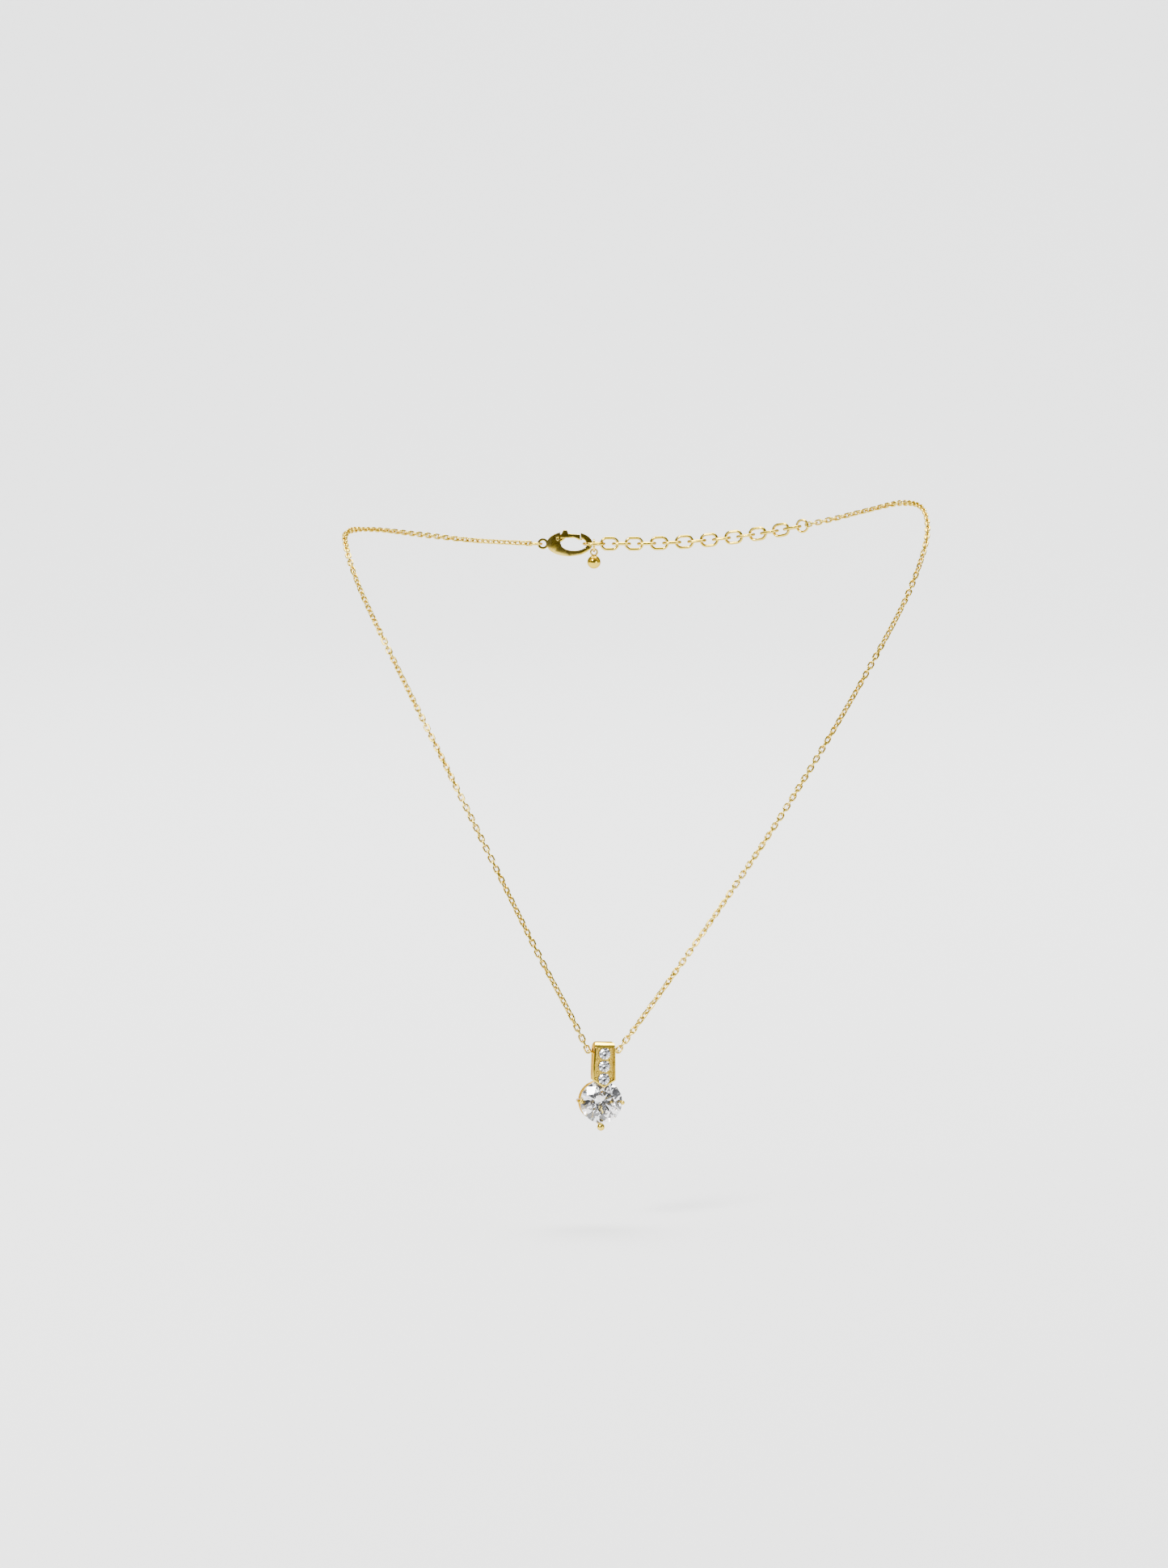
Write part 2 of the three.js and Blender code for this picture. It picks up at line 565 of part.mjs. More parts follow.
function claspLever() {
  const arm = [
    [LEVER_PIVOT_X - 0.55, LEVER_PIVOT_Z - 0.5],
    [LEVER_PIVOT_X + 1, LEVER_PIVOT_Z - 0.5],
    [LEVER_PIVOT_X + 1.9, LEVER_TOP - LEVER_HEIGHT],
    [GATE_END - 1.2, LEVER_TOP - LEVER_HEIGHT - 0.05],
    [GATE_END - 0.4, LEVER_TOP - LEVER_HEIGHT - 0.55],
    [GATE_END + 0.35, LEVER_TOP - LEVER_HEIGHT - 0.55],
    [GATE_END + 0.35, LEVER_TOP - LEVER_HEIGHT - 0.3],
    [GATE_END - 0.1, LEVER_TOP - LEVER_HEIGHT - 0.2],
    [GATE_END - 0.1, LEVER_TOP - 0.1],
    [LEVER_PIVOT_X + 2.4, LEVER_TOP + 0.05],
    [LEVER_PIVOT_X + 2.1, LEVER_TOP + LEVER_KNOB],
    [LEVER_PIVOT_X + 1.3, LEVER_TOP + LEVER_KNOB],
    [LEVER_PIVOT_X + 0.9, LEVER_TOP],
    [LEVER_PIVOT_X - 0.55, LEVER_PIVOT_Z + 0.6],
  ];
  const rivetHole = roundBar(RIVET_DIAMETER + 2 * FIT, -2, 2, 16);
  return slab(arm, LEVER_THICKNESS).subtract(solidOf(at(rivetHole, LEVER_PIVOT_X, 0, LEVER_PIVOT_Z)));
}
addPiece(clasp, 'clasp_lever', geometryOf(claspLever()), gold);

const rivet = roundBar(RIVET_DIAMETER, -CLASP_THICKNESS / 2 + 0.02, CLASP_THICKNESS / 2 - 0.02, 16);
addPiece(clasp, 'clasp_rivet', at(rivet, LEVER_PIVOT_X, 0, LEVER_PIVOT_Z), gold);

// A bent spring wire lies in the pocket and presses up under the lever.
const springPath = [
  new THREE.Vector3(LEVER_PIVOT_X - 0.9, 0, -0.2),
  new THREE.Vector3(LEVER_PIVOT_X - 0.1, 0, -0.16),
  new THREE.Vector3(LEVER_PIVOT_X + 0.8, 0, LEVER_PIVOT_Z - 0.5 - SPRING_WIRE),
];
addPiece(clasp, 'clasp_spring', sweep(springPath, SPRING_WIRE, 6, 6), steel);

// The catch ring goes through the clasp's opening.
const catchReach = (CATCH_RING_OUTER - CATCH_RING_WIRE) / 2;
const catchX = claspX + openingEnd - CATCH_RING_WIRE / 2 - CHAIN_ROOM + catchReach;
const catchRing = wireRing(CATCH_RING_OUTER, CATCH_RING_OUTER, CATCH_RING_WIRE, 22, 8);
addPiece(necklace, 'catch_ring', catchRing, gold).position.set(catchX, leftEnd.y, leftEnd.z);

// Drop ring and drop hang from the side of the catch ring that is away from the neck.
const drop = new THREE.Group();
drop.position.set(catchX, leftEnd.y + catchReach, leftEnd.z);
necklace.add(drop);
const dropRingReach = (DROP_RING_OUTER - DROP_RING_WIRE) / 2;
const dropRingZ = (CATCH_RING_WIRE + DROP_RING_WIRE) / 2 + RING_ROOM - dropRingReach;
const dropRing = wireRing(DROP_RING_OUTER, DROP_RING_OUTER, DROP_RING_WIRE, 18, 8);
addPiece(drop, 'drop_ring', dropRing.rotateY(Math.PI / 2), gold).position.z = dropRingZ;
const eyeReach = (DROP_EYE_OUTER - DROP_EYE_WIRE) / 2;
const eyeZ = dropRingZ - dropRingReach + (DROP_RING_WIRE + DROP_EYE_WIRE) / 2 + FIT - eyeReach;
const eye = wireRing(DROP_EYE_OUTER, DROP_EYE_OUTER, DROP_EYE_WIRE, 14, 8).rotateX(Math.PI / 2);
const beadZ = eyeZ - DROP_EYE_OUTER / 2 - DROP_BEAD_DIAMETER / 2 + DROP_BEAD_BITE;
const dropBead = new THREE.SphereGeometry(DROP_BEAD_DIAMETER / 2, 16, 12);
const dropBody = solidOf(at(eye, 0, 0, eyeZ)).add(solidOf(at(dropBead, 0, 0, beadZ)));
addPiece(drop, 'end_drop', geometryOf(dropBody), gold);

// Extender links follow the back of the neck from the catch ring to the right-hand strand.
const extenderRoute = new THREE.CatmullRomCurve3([
  new THREE.Vector3(catchX + catchReach, leftEnd.y, leftEnd.z),
  ...EXTENDER_ROUTE.map(([x, y, z]) => new THREE.Vector3(x, y, z)),
  rightEnd,
]);
const extenderLength = extenderRoute.getLength();
const extenderPitch = EXTENDER_LENGTH - 2 * EXTENDER_WIRE - EXTENDER_PLAY;

function placeOnRoute(mesh, distance, span) {
  const behind = extenderRoute.getPointAt(Math.max(0, distance - span / 2) / extenderLength);
  const ahead = extenderRoute.getPointAt(Math.min(extenderLength, distance + span / 2) / extenderLength);
  const along = ahead.clone().sub(behind).normalize();
  const up = new THREE.Vector3(0, 0, 1).addScaledVector(along, -along.z).normalize();
  const basis = new THREE.Matrix4().makeBasis(along, up.clone().cross(along), up);
  mesh.position.copy(behind).add(ahead).multiplyScalar(0.5);
  mesh.quaternion.setFromRotationMatrix(basis);
}

const firstDistance = EXTENDER_LENGTH / 2 - EXTENDER_WIRE - CATCH_RING_WIRE / 2 - RING_ROOM;
for (let i = 0; i < EXTENDER_COUNT; i += 1) {
  const link = wireRing(EXTENDER_LENGTH, EXTENDER_WIDTH, EXTENDER_WIRE, 14, 6);
  const onEdge = i % 2 === 0;
  const name = `extender_link_${String(i + 1).padStart(2, '0')}`;
  const mesh = addPiece(necklace, name, onEdge ? link.rotateX(Math.PI / 2) : link, gold);
  placeOnRoute(mesh, firstDistance + i * extenderPitch, extenderPitch);
}

const lastEnd = firstDistance + (EXTENDER_COUNT - 1) * extenderPitch + EXTENDER_LENGTH / 2;
const ringDistance = lastEnd - EXTENDER_WIRE - END_RING_WIRE / 2 - RING_ROOM + endRingReach;
const endRingRight = wireRing(END_RING_OUTER, END_RING_OUTER, END_RING_WIRE, 18, 8);
const rightRing = addPiece(necklace, 'end_ring_right', endRingRight.rotateX(Math.PI / 2), gold);
placeOnRoute(rightRing, ringDistance, extenderPitch);

export default necklace;
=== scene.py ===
"""The looks of a pendant necklace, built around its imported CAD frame.

Every piece is in metres in the frame of the part: +Z up, the wearer facing -Y, and the origin in
the middle of the neck.
"""

import json
import logging
import math
from dataclasses import dataclass, field
from enum import Enum
from typing import Iterable, Sequence

import bmesh
import bpy
import numpy
from mathutils import Matrix, Vector

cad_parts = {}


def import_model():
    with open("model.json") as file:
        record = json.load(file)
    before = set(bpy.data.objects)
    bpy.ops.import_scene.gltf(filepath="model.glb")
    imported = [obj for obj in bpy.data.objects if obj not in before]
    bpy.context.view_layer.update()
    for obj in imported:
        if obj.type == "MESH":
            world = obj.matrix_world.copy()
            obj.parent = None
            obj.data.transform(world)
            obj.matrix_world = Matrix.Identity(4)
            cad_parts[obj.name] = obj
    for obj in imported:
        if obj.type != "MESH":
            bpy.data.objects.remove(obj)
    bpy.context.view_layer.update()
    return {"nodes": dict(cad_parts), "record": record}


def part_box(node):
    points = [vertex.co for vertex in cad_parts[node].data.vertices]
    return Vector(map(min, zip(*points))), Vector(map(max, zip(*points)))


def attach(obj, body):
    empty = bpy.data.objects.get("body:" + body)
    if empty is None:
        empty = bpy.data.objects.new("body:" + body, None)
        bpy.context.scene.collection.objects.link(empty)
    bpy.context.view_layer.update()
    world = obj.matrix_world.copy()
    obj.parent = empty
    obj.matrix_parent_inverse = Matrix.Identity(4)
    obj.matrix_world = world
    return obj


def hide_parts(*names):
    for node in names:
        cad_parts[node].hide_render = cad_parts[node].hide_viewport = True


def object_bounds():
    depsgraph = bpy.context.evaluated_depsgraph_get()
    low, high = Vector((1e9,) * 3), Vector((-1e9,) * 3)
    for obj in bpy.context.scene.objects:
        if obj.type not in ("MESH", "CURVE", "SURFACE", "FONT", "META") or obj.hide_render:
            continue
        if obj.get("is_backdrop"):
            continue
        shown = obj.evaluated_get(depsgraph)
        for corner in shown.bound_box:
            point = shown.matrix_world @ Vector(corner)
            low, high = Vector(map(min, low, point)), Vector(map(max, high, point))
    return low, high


LOG = logging.getLogger("necklace")
MM = 0.001

Point = tuple[float, float, float]
Outline = list[tuple[float, float]]
Body = bpy.types.Object
Material = bpy.types.Material

# Centre line of each strand in millimetres, from the bail over the shoulder to the nape.
LEFT_ROUTE: list[Point] = [
    (-14.7, -48.5, -96),
    (-21.1, -46, -84.2),
    (-31.2, -39.5, -64.4),
    (-41.5, -30.4, -44.4),
    (-51.9, -19.3, -24.6),
    (-60, -8.4, -8.8),
    (-63.3, 2, -0.6),
    (-63.6, 14, 2.4),
    (-58.6, 28, 2.4),
    (-48.5, 40.6, 0.7),
    (-37, 49, -1),
    (-24.6, 53.5, -2),
]
RIGHT_ROUTE: list[Point] = [
    (-0.2, -49, -97.6),
    (8.3, -46.6, -86),
    (18.2, -42.4, -72.2),
    (29.3, -36.2, -56.2),
    (39.6, -28.6, -40.4),
    (49.4, -19.3, -24.7),
    (58.5, -8, -8.7),
    (62.6, 2, 2.2),
    (62.2, 12, 7.6),
    (58.2, 24, 8.4),
    (50.6, 34.6, 6.2),
    (44.2, 39.8, 4.3),
    (38.9, 43.1, 2.85),
]


class Side(Enum):
    """The side of the necklace as seen from the front."""

    LEFT = -1
    RIGHT = 1


class Lie(Enum):
    """How a link lies: flat, or standing on its edge."""

    FLAT = 0.0
    ON_EDGE = 90.0


# ---- Shader bench -----------------------------------------------------------------------------


class Signal:
    """A shader socket that Python arithmetic can be written on."""

    def __init__(self, bench: "NodeBench", socket: bpy.types.NodeSocket) -> None:
        """Wraps a socket.

        Args:
            bench: the tree that the socket belongs to.
            socket: the output socket.
        """
        self.bench = bench
        self.socket = socket

    def _math(self, operation: str, first: object, second: object = 0.0) -> "Signal":
        """Adds one Math node.

        Args:
            operation: the Math node's operation.
            first: the first number or signal.
            second: the second number or signal.

        Returns:
            The node's result.
        """
        return self.bench.add("ShaderNodeMath", {"operation": operation}, {0: first, 1: second})

    def __add__(self, other: object) -> "Signal":
        """Adds."""
        return self._math("ADD", self, other)

    __radd__ = __add__

    def __sub__(self, other: object) -> "Signal":
        """Subtracts."""
        return self._math("SUBTRACT", self, other)

    def __rsub__(self, other: object) -> "Signal":
        """Subtracts from a number."""
        return self._math("SUBTRACT", other, self)

    def __mul__(self, other: object) -> "Signal":
        """Multiplies."""
        return self._math("MULTIPLY", self, other)

    __rmul__ = __mul__

    def clamp(self) -> "Signal":
        """Holds the value between 0 and 1."""
        low = self._math("MAXIMUM", self, 0.0)
        return self._math("MINIMUM", low, 1.0)


class NodeBench:
    """Builds one node tree, shader or geometry."""

    def __init__(self, tree: bpy.types.NodeTree) -> None:
        """Keeps the tree.

        Args:
            tree: the empty node tree to fill.
        """
        self.tree = tree

    def add(
        self,
        kind: str,
        settings: dict[str, object] | None = None,
        inputs: dict[int | str, object] | None = None,
        output: int | str = 0,
    ) -> Signal:
        """Adds a node, sets it, and fills its sockets.

        Args:
            kind: the node's type.
            settings: attributes that are set before the sockets; "ramp" holds colour stops.
            inputs: a value or a Signal for each socket, by name or number.
            output: the output socket to return.

        Returns:
            The chosen output, wrapped.
        """
        node = self.tree.nodes.new(kind)
        for key, value in (settings or {}).items():
            if key == "ramp":
                self._fill_ramp(node, value)
            else:
                setattr(node, key, value)
        for key, value in (inputs or {}).items():
            socket = node.inputs[key]
            if isinstance(value, Signal):
                self.tree.links.new(value.socket, socket)
            else:
                socket.default_value = value
        return Signal(self, node.outputs[output])

    def _fill_ramp(self, node: bpy.types.Node, stops: Sequence[tuple[float, tuple]]) -> None:
        """Sets a colour ramp's stops.

        Args:
            node: the ColorRamp node.
            stops: position and colour of each stop.
        """
        elements = node.color_ramp.elements
        while len(elements) < len(stops):
            elements.new(0.5)
        for element, (position, colour) in zip(elements, stops):
            element.position = position
            element.color = (*colour, 1.0) if len(colour) == 3 else colour

    def mix(self, factor: object, low: object, high: object) -> Signal:
        """Mixes two colours.

        Args:
            factor: how much of the second colour.
            low: the first colour or signal.
            high: the second colour or signal.

        Returns:
            The mixed colour.
        """
        settings = {"data_type": "RGBA", "clamp_factor": True}
        return self.add("ShaderNodeMix", settings, {0: factor, 6: low, 7: high}, 2)

    def noise(self, scale: float, detail: float = 3.0, stretch: Point | None = None) -> Signal:
        """Adds a noise that is fixed to the object.

        Args:
            scale: cells per metre.
            detail: octaves.
            stretch: factors for x, y and z, for streaks.

        Returns:
            The noise's value.
        """
        place = self.add("ShaderNodeTexCoord", output="Object")
        if stretch:
            place = self.add("ShaderNodeMapping", None, {"Vector": place, "Scale": stretch})
        sockets = {"Vector": place, "Scale": scale, "Detail": detail}
        return self.add("ShaderNodeTexNoise", None, sockets)

    def bump(self, height: Signal, strength: float, depth: float) -> Signal:
        """Turns a height into a normal.

        Args:
            height: the height signal.
            strength: how much of it is used.
            depth: the depth of the full height in metres.

        Returns:
            The normal.
        """
        sockets = {"Strength": strength, "Distance": depth, "Height": height}
        return self.add("ShaderNodeBump", None, sockets)


# ---- Finishes ---------------------------------------------------------------------------------


@dataclass(frozen=True)
class GoldPlate:
    """Polished gold plate with fine wear, painted shade darkening the crevices and a painted
    highlight paling the edges.
    """

    name: str = "gold_plate"
    pale: Point = (0.76, 0.57, 0.07)
    warm: Point = (0.60, 0.41, 0.025)
    # painted shade: the dark colour mixed into crevices and hollows
    painted_crevice_shade: Point = (0.20, 0.11, 0.01)
    # painted highlight: the pale colour mixed onto sharp convex edges
    edge: Point = (0.92, 0.74, 0.22)
    edge_tint: Point = (0.50, 0.32, 0.03)
    roughness: float = 0.13
    wear: float = 0.10
    scratch_depth: float = 0.04

    def make(self) -> Material:
        """Builds the material.

        Returns:
            The material.
        """
        material, bench, shader = new_material(self.name)
        cloud = bench.noise(260.0, 4.0)
        body = bench.mix(cloud, (*self.warm, 1.0), (*self.pale, 1.0))
        edge = bench.add("ShaderNodeNewGeometry", output="Pointiness")
        # Painted shade: hollows, read from pointiness, are darkened towards the crevice shade
        # colour.
        painted_shade_mask = ((0.49 - edge) * 14.0).clamp()
        body = bench.mix(painted_shade_mask * 0.8, body, (*self.painted_crevice_shade, 1.0))
        # Painted highlight: convex edges, read from pointiness, are paled towards the edge colour.
        rim = ((edge - 0.52) * 12.0).clamp()
        body = bench.mix(rim * 0.4, body, (*self.edge, 1.0))
        hair = bench.noise(2600.0, 5.0, (1.0, 0.35, 0.2))
        smear = bench.noise(700.0, 2.0)
        rough = hair * self.wear + smear * self.wear * 0.6 + (self.roughness - self.wear * 0.5)
        bump = bench.bump(hair, self.scratch_depth, 0.04 * MM)
        fill(bench, shader, {"Base Color": body, "Roughness": rough.clamp(), "Normal": bump})
        shader.inputs["Metallic"].default_value = 1.0
        shader.inputs["Specular Tint"].default_value = (*self.edge_tint, 1.0)
        return material


@dataclass(frozen=True)
class BrightCutGold:
    """The deep yellow floor of the stone channel, cut with fine crossing lines, with painted shade
    darkening the grooves of the lines.
    """

    name: str = "channel_gold"
    light: Point = (0.80, 0.58, 0.08)
    # painted shade: the colour of the grooves of the cut lines
    dark: Point = (0.34, 0.20, 0.02)
    line_pitch: float = 0.16 * MM
    cut_strength: float = 0.5
    cut_depth: float = 0.03 * MM

    def make(self) -> Material:
        """Builds the material.

        Returns:
            The material.
        """
        material, bench, shader = new_material(self.name)
        place = bench.add("ShaderNodeTexCoord", output="Object")
        waves = []
        for turn in (0.7, -0.7):
            spin = {"Vector": place, "Rotation": (0.0, turn, 0.0)}
            turned = bench.add("ShaderNodeMapping", None, spin)
            sockets = {"Vector": turned, "Scale": 1.0 / (self.line_pitch * 3.2), "Distortion": 0.4}
            settings = {"wave_type": "BANDS", "bands_direction": "X"}
            waves.append(bench.add("ShaderNodeTexWave", settings, sockets, "Fac"))
        hatch = waves[0] * waves[1]
        cloud = bench.noise(900.0, 4.0)
        # Painted shade: the colour is darkened in the grooves of the cut lines, where the hatch is
        # low; the cloud adds random tone.
        tone = (hatch * 0.7 + cloud * 0.5).clamp()
        colour = bench.mix(tone, (*self.dark, 1.0), (*self.light, 1.0))
        bump = bench.bump(hatch, self.cut_strength, self.cut_depth)
        rough = (cloud * 0.2 + 0.16).clamp()
        fill(bench, shader, {"Base Color": colour, "Roughness": rough, "Normal": bump})
        shader.inputs["Metallic"].default_value = 1.0
        return material


@dataclass(frozen=True)
class Crystal:
    """Clear cut stone with a faint play of colour: random cold and warm tints that are partly the
    stone's own faint tint and partly painted dispersion fire.
    """

    name: str = "crystal"
    refraction: float = 2.15
    cold: Point = (0.84, 0.89, 1.0)
    warm: Point = (1.0, 0.95, 0.96)

    def make(self) -> Material:
        """Builds the material.

        Returns:
            The material.
        """
        material, bench, shader = new_material(self.name)
        # Partly the stone's own faint tint, partly painted dispersion: cold and warm tints laid by
        # noise through the glass.
        play = bench.noise(420.0, 1.0)
        stops = [(0.35, self.cold), (0.5, (0.99, 0.99, 1.0)), (0.65, self.warm)]
        colour = bench.add("ShaderNodeValToRGB", {"ramp": stops}, {"Fac": play})
        polish = bench.noise(5000.0, 2.0)
        fill(bench, shader, {"Base Color": colour, "Roughness": (polish * 0.012).clamp()})
        shader.inputs["Transmission Weight"].default_value = 1.0
        shader.inputs["IOR"].default_value = self.refraction
        return material


@dataclass(frozen=True)
class SpringSteel:
    """Drawn spring wire."""

    name: str = "spring_steel"
    light: Point = (0.72, 0.74, 0.77)
    dark: Point = (0.40, 0.41, 0.44)
    drawn_strength: float = 0.2
    drawn_depth: float = 0.02 * MM

    def make(self) -> Material:
        """Builds the material.

        Returns:
            The material.
        """
        material, bench, shader = new_material(self.name)
        drawn = bench.noise(3000.0, 4.0, (0.1, 1.0, 1.0))
        colour = bench.mix(drawn, (*self.dark, 1.0), (*self.light, 1.0))
        bump = bench.bump(drawn, self.drawn_strength, self.drawn_depth)
        fill(bench, shader, {"Base Color": colour, "Roughness": drawn * 0.2 + 0.2, "Normal": bump})
        shader.inputs["Metallic"].default_value = 1.0
        return material


@dataclass(frozen=True)
class StudioPaper:
    """Plain pale paper of the backdrop."""

    name: str = "studio_paper"
    tone: Point = (0.80, 0.80, 0.80)

    def make(self) -> Material:
        """Builds the material.

        Returns:
            The material.
        """
        material, bench, shader = new_material(self.name)
        grain = bench.noise(60.0, 3.0)
        low = tuple(0.985 * c for c in self.tone)
        colour = bench.mix(grain, (*low, 1.0), (*self.tone, 1.0))
        fill(bench, shader, {"Base Color": colour, "Roughness": grain * 0.1 + 0.8})
        return material


def new_material(name: str) -> tuple[Material, NodeBench, bpy.types.Node]:
    """Makes a material with an empty Principled shader.

    Args:
        name: the material's name.

    Returns:
        The material, its bench and its shader node.
    """
    material = bpy.data.materials.new(name)
    material.use_nodes = True
    shader = material.node_tree.nodes["Principled BSDF"]
    return material, NodeBench(material.node_tree), shader


def fill(bench: NodeBench, shader: bpy.types.Node, links: dict[str, Signal]) -> None:
    """Links signals to the shader's sockets.

    Args:
        bench: the tree's bench.
        shader: the Principled node.
        links: socket name to signal.
    """
    for name, signal in links.items():
        bench.tree.links.new(signal.socket, shader.inputs[name])


@dataclass
class Finishes:
    """Every finish of the necklace, made once."""

    gold: Material = field(default_factory=lambda: GoldPlate().make())
    channel: Material = field(default_factory=lambda: BrightCutGold().make())
    crystal: Material = field(default_factory=lambda: Crystal().make())
    steel: Material = field(default_factory=lambda: SpringSteel().make())
    paper: Material = field(default_factory=lambda: StudioPaper().make())


# ---- Mesh helpers -----------------------------------------------------------------------------


def linked(name: str, mesh: bpy.types.Mesh) -> Body:
    """Puts a mesh in the scene as an object."""
    made = bpy.data.objects.new(name, mesh)
    bpy.context.scene.collection.objects.link(made)
    return made


def object_from(
    name: str, points: Iterable[Sequence[float]], faces: Iterable[Sequence[int]]
) -> Body:
    """Makes an object from points and faces, with its normals out.

    Args:
        name: the object's name.
        points: the corners.
        faces: the corner numbers of each face.

    Returns:
        The linked object.
    """
    mesh = bpy.data.meshes.new(name)
    mesh.from_pydata([tuple(p) for p in points], [], [tuple(f) for f in faces])
    work = bmesh.new()
    work.from_mesh(mesh)
    bmesh.ops.remove_doubles(work, verts=work.verts, dist=1e-8)
    bmesh.ops.recalc_face_normals(work, faces=work.faces)
    work.to_mesh(mesh)
    work.free()
    return linked(name, mesh)


def prism(name: str, outline: Outline, front: float, back: float) -> Body:
    """A plate whose outline is drawn in x and z and which fills y from front to back.

    Args:
        name: the object's name.
        outline: the corners.
        front: the lower y.
        back: the higher y.

    Returns:
        The plate.
    """
    count = len(outline)
    points = [(x, front, z) for x, z in outline] + [(x, back, z) for x, z in outline]
    faces: list[Sequence[int]] = [range(count), range(count, 2 * count)]
    faces += [(i, (i + 1) % count, count + (i + 1) % count, count + i) for i in range(count)]
    return object_from(name, points, faces)


def lathe(name: str, profile: Outline, segments: int) -> Body:
    """Turns a closed or axis-ended profile of radius and y about the y axis.

    Args:
        name: the object's name.
        profile: radius and y of each point; a radius of 0 is a pole.
        segments: steps round the axis.

    Returns:
        The turned body.
    """
    closed = profile[0][0] > 0 and profile[-1][0] > 0
    points = []
    for turn in range(segments):
        angle = 2 * math.pi * turn / segments
        points += [(r * math.sin(angle), y, r * math.cos(angle)) for r, y in profile]
    count = len(profile)
    faces = []
    for turn in range(segments):
        here, there = turn * count, ((turn + 1) % segments) * count
        for i in range(count if closed else count - 1):
            k = (i + 1) % count
            corners = [here + i, here + k, there + k, there + i]
            if profile[i][0] == 0:
                corners = [here + i, here + k, there + k]
            elif profile[k][0] == 0:
                corners = [here + i, here + k, there + i]
            faces.append(corners)
    return object_from(name, points, faces)


def ball(name: str, centre: Vector, radius: float, steps: int = 24) -> Body:
    """A fine round bead.

    Args:
        name: the object's name.
        centre: its middle.
        radius: its radius.
        steps: steps from pole to pole.

    Returns:
        The bead.
    """
    arc = [math.pi * i / steps for i in range(1, steps)]
    profile = [(radius * math.sin(a), -radius * math.cos(a)) for a in arc]
    profile = [(0.0, -radius), *profile, (0.0, radius)]
    bead = lathe(name, profile, 2 * steps)
    bead.data.transform(Matrix.Translation(centre))
    return bead


def tube(name: str, route: Sequence[Vector], radius: float, sides: int) -> Body:
    """A round wire along a route, closed at both ends.

    Args:
        name: the object's name.
        route: the centre line.
        radius: the wire's radius.
        sides: sides of the section.

    Returns:
        The wire.
    """
    tangents = route_tangents(route)
    side = tangents[0].orthogonal().normalized()
    points: list[Vector] = []
    for place, tangent in zip(route, tangents):
        side = (side - tangent * side.dot(tangent)).normalized()
        up = tangent.cross(side)
        for i in range(sides):
            angle = 2 * math.pi * i / sides
            points.append(place + radius * (math.cos(angle) * side + math.sin(angle) * up))
    faces: list[Sequence[int]] = [range(sides), range(len(points) - sides, len(points))]
    for ring in range(len(route) - 1):
        for i in range(sides):
            k = (i + 1) % sides
            low, high = ring * sides, (ring + 1) * sides
            faces.append((low + i, low + k, high + k, high + i))
    return object_from(name, points, faces)


def route_tangents(route: Sequence[Vector]) -> list[Vector]:
    """The direction of travel at each point of a route.

    Args:
        route: the points.

    Returns:
        A unit vector for each point.
    """
    last = len(route) - 1
    return [(route[min(i + 1, last)] - route[max(i - 1, 0)]).normalized() for i in range(last + 1)]


def smooth_route(points: Sequence[Vector], steps: int) -> list[Vector]:
    """A centripetal Catmull-Rom curve through the points.

    Args:
        points: the points that it passes.
        steps: steps between two of them.

    Returns:
        The points of the curve.
    """
    ends = [2 * points[0] - points[1], *points, 2 * points[-1] - points[-2]]
    curve = [points[0].copy()]
    for p0, p1, p2, p3 in zip(ends, ends[1:], ends[2:], ends[3:]):
        t1 = math.sqrt((p1 - p0).length)
        t2 = t1 + math.sqrt((p2 - p1).length)
        t3 = t2 + math.sqrt((p3 - p2).length)
        for i in range(1, steps + 1):
            t = t1 + (t2 - t1) * i / steps
            a1 = p0.lerp(p1, t / t1)
            a2 = p1.lerp(p2, (t - t1) / (t2 - t1))
            a3 = p2.lerp(p3, (t - t2) / (t3 - t2))
            b1 = a1.lerp(a2, t / t2)
            b2 = a2.lerp(a3, (t - t1) / (t3 - t1))
            curve.append(b1.lerp(b2, (t - t1) / (t2 - t1)))
    return curve


def route_length(route: Sequence[Vector]) -> float:
    """The length of a route."""
    return sum((b - a).length for a, b in zip(route, route[1:]))


def cut_route(route: Sequence[Vector], start: float, end: float) -> list[Vector]:
    """The stretch of a route between two distances from its start.

    Args:
        route: the points.
        start: where the stretch begins.
        end: where it ends.

    Returns:
        The points of the stretch.
    """
    stretch: list[Vector] = []
    walked = 0.0
    for a, b in zip(route, route[1:]):
        step = (b - a).length
        if not stretch and walked + step > start:
            stretch.append(a.lerp(b, (start - walked) / step))
        if walked + step >= end:
            stretch.append(a.lerp(b, (end - walked) / step))
            break
        if stretch:
            stretch.append(b.copy())
        walked += step
    return stretch


def oval_ring(
    name: str, length: float, width: float, wire: float, segments: int, sides: int
) -> Body:
    """A round or oval wire ring in the x-y plane, long in x.

    Args:
        name: the object's name.
        length: outer length.
        width: outer width.
        wire: wire diameter.
        segments: steps round the ring.
        sides: sides of the wire's section.

    Returns:
        The ring.
    """
    radius, half = (width - wire) / 2, wire / 2
    stretch = (length - width) / 2
    points = []
    for i in range(segments):
        angle = 2 * math.pi * (i + 0.5) / segments
        shift = math.copysign(stretch, math.cos(angle))
        for j in range(sides):
            turn = 2 * math.pi * (j + 0.5) / sides
            reach = radius + half * math.cos(turn)
            x, y = reach * math.cos(angle) + shift, reach * math.sin(angle)
            points.append((x, y, half * math.sin(turn)))
    faces = []
    for i in range(segments):
        for j in range(sides):
            k, m = (i + 1) % segments, (j + 1) % sides
            faces.append((i * sides + j, k * sides + j, k * sides + m, i * sides + m))
    return object_from(name, points, faces)


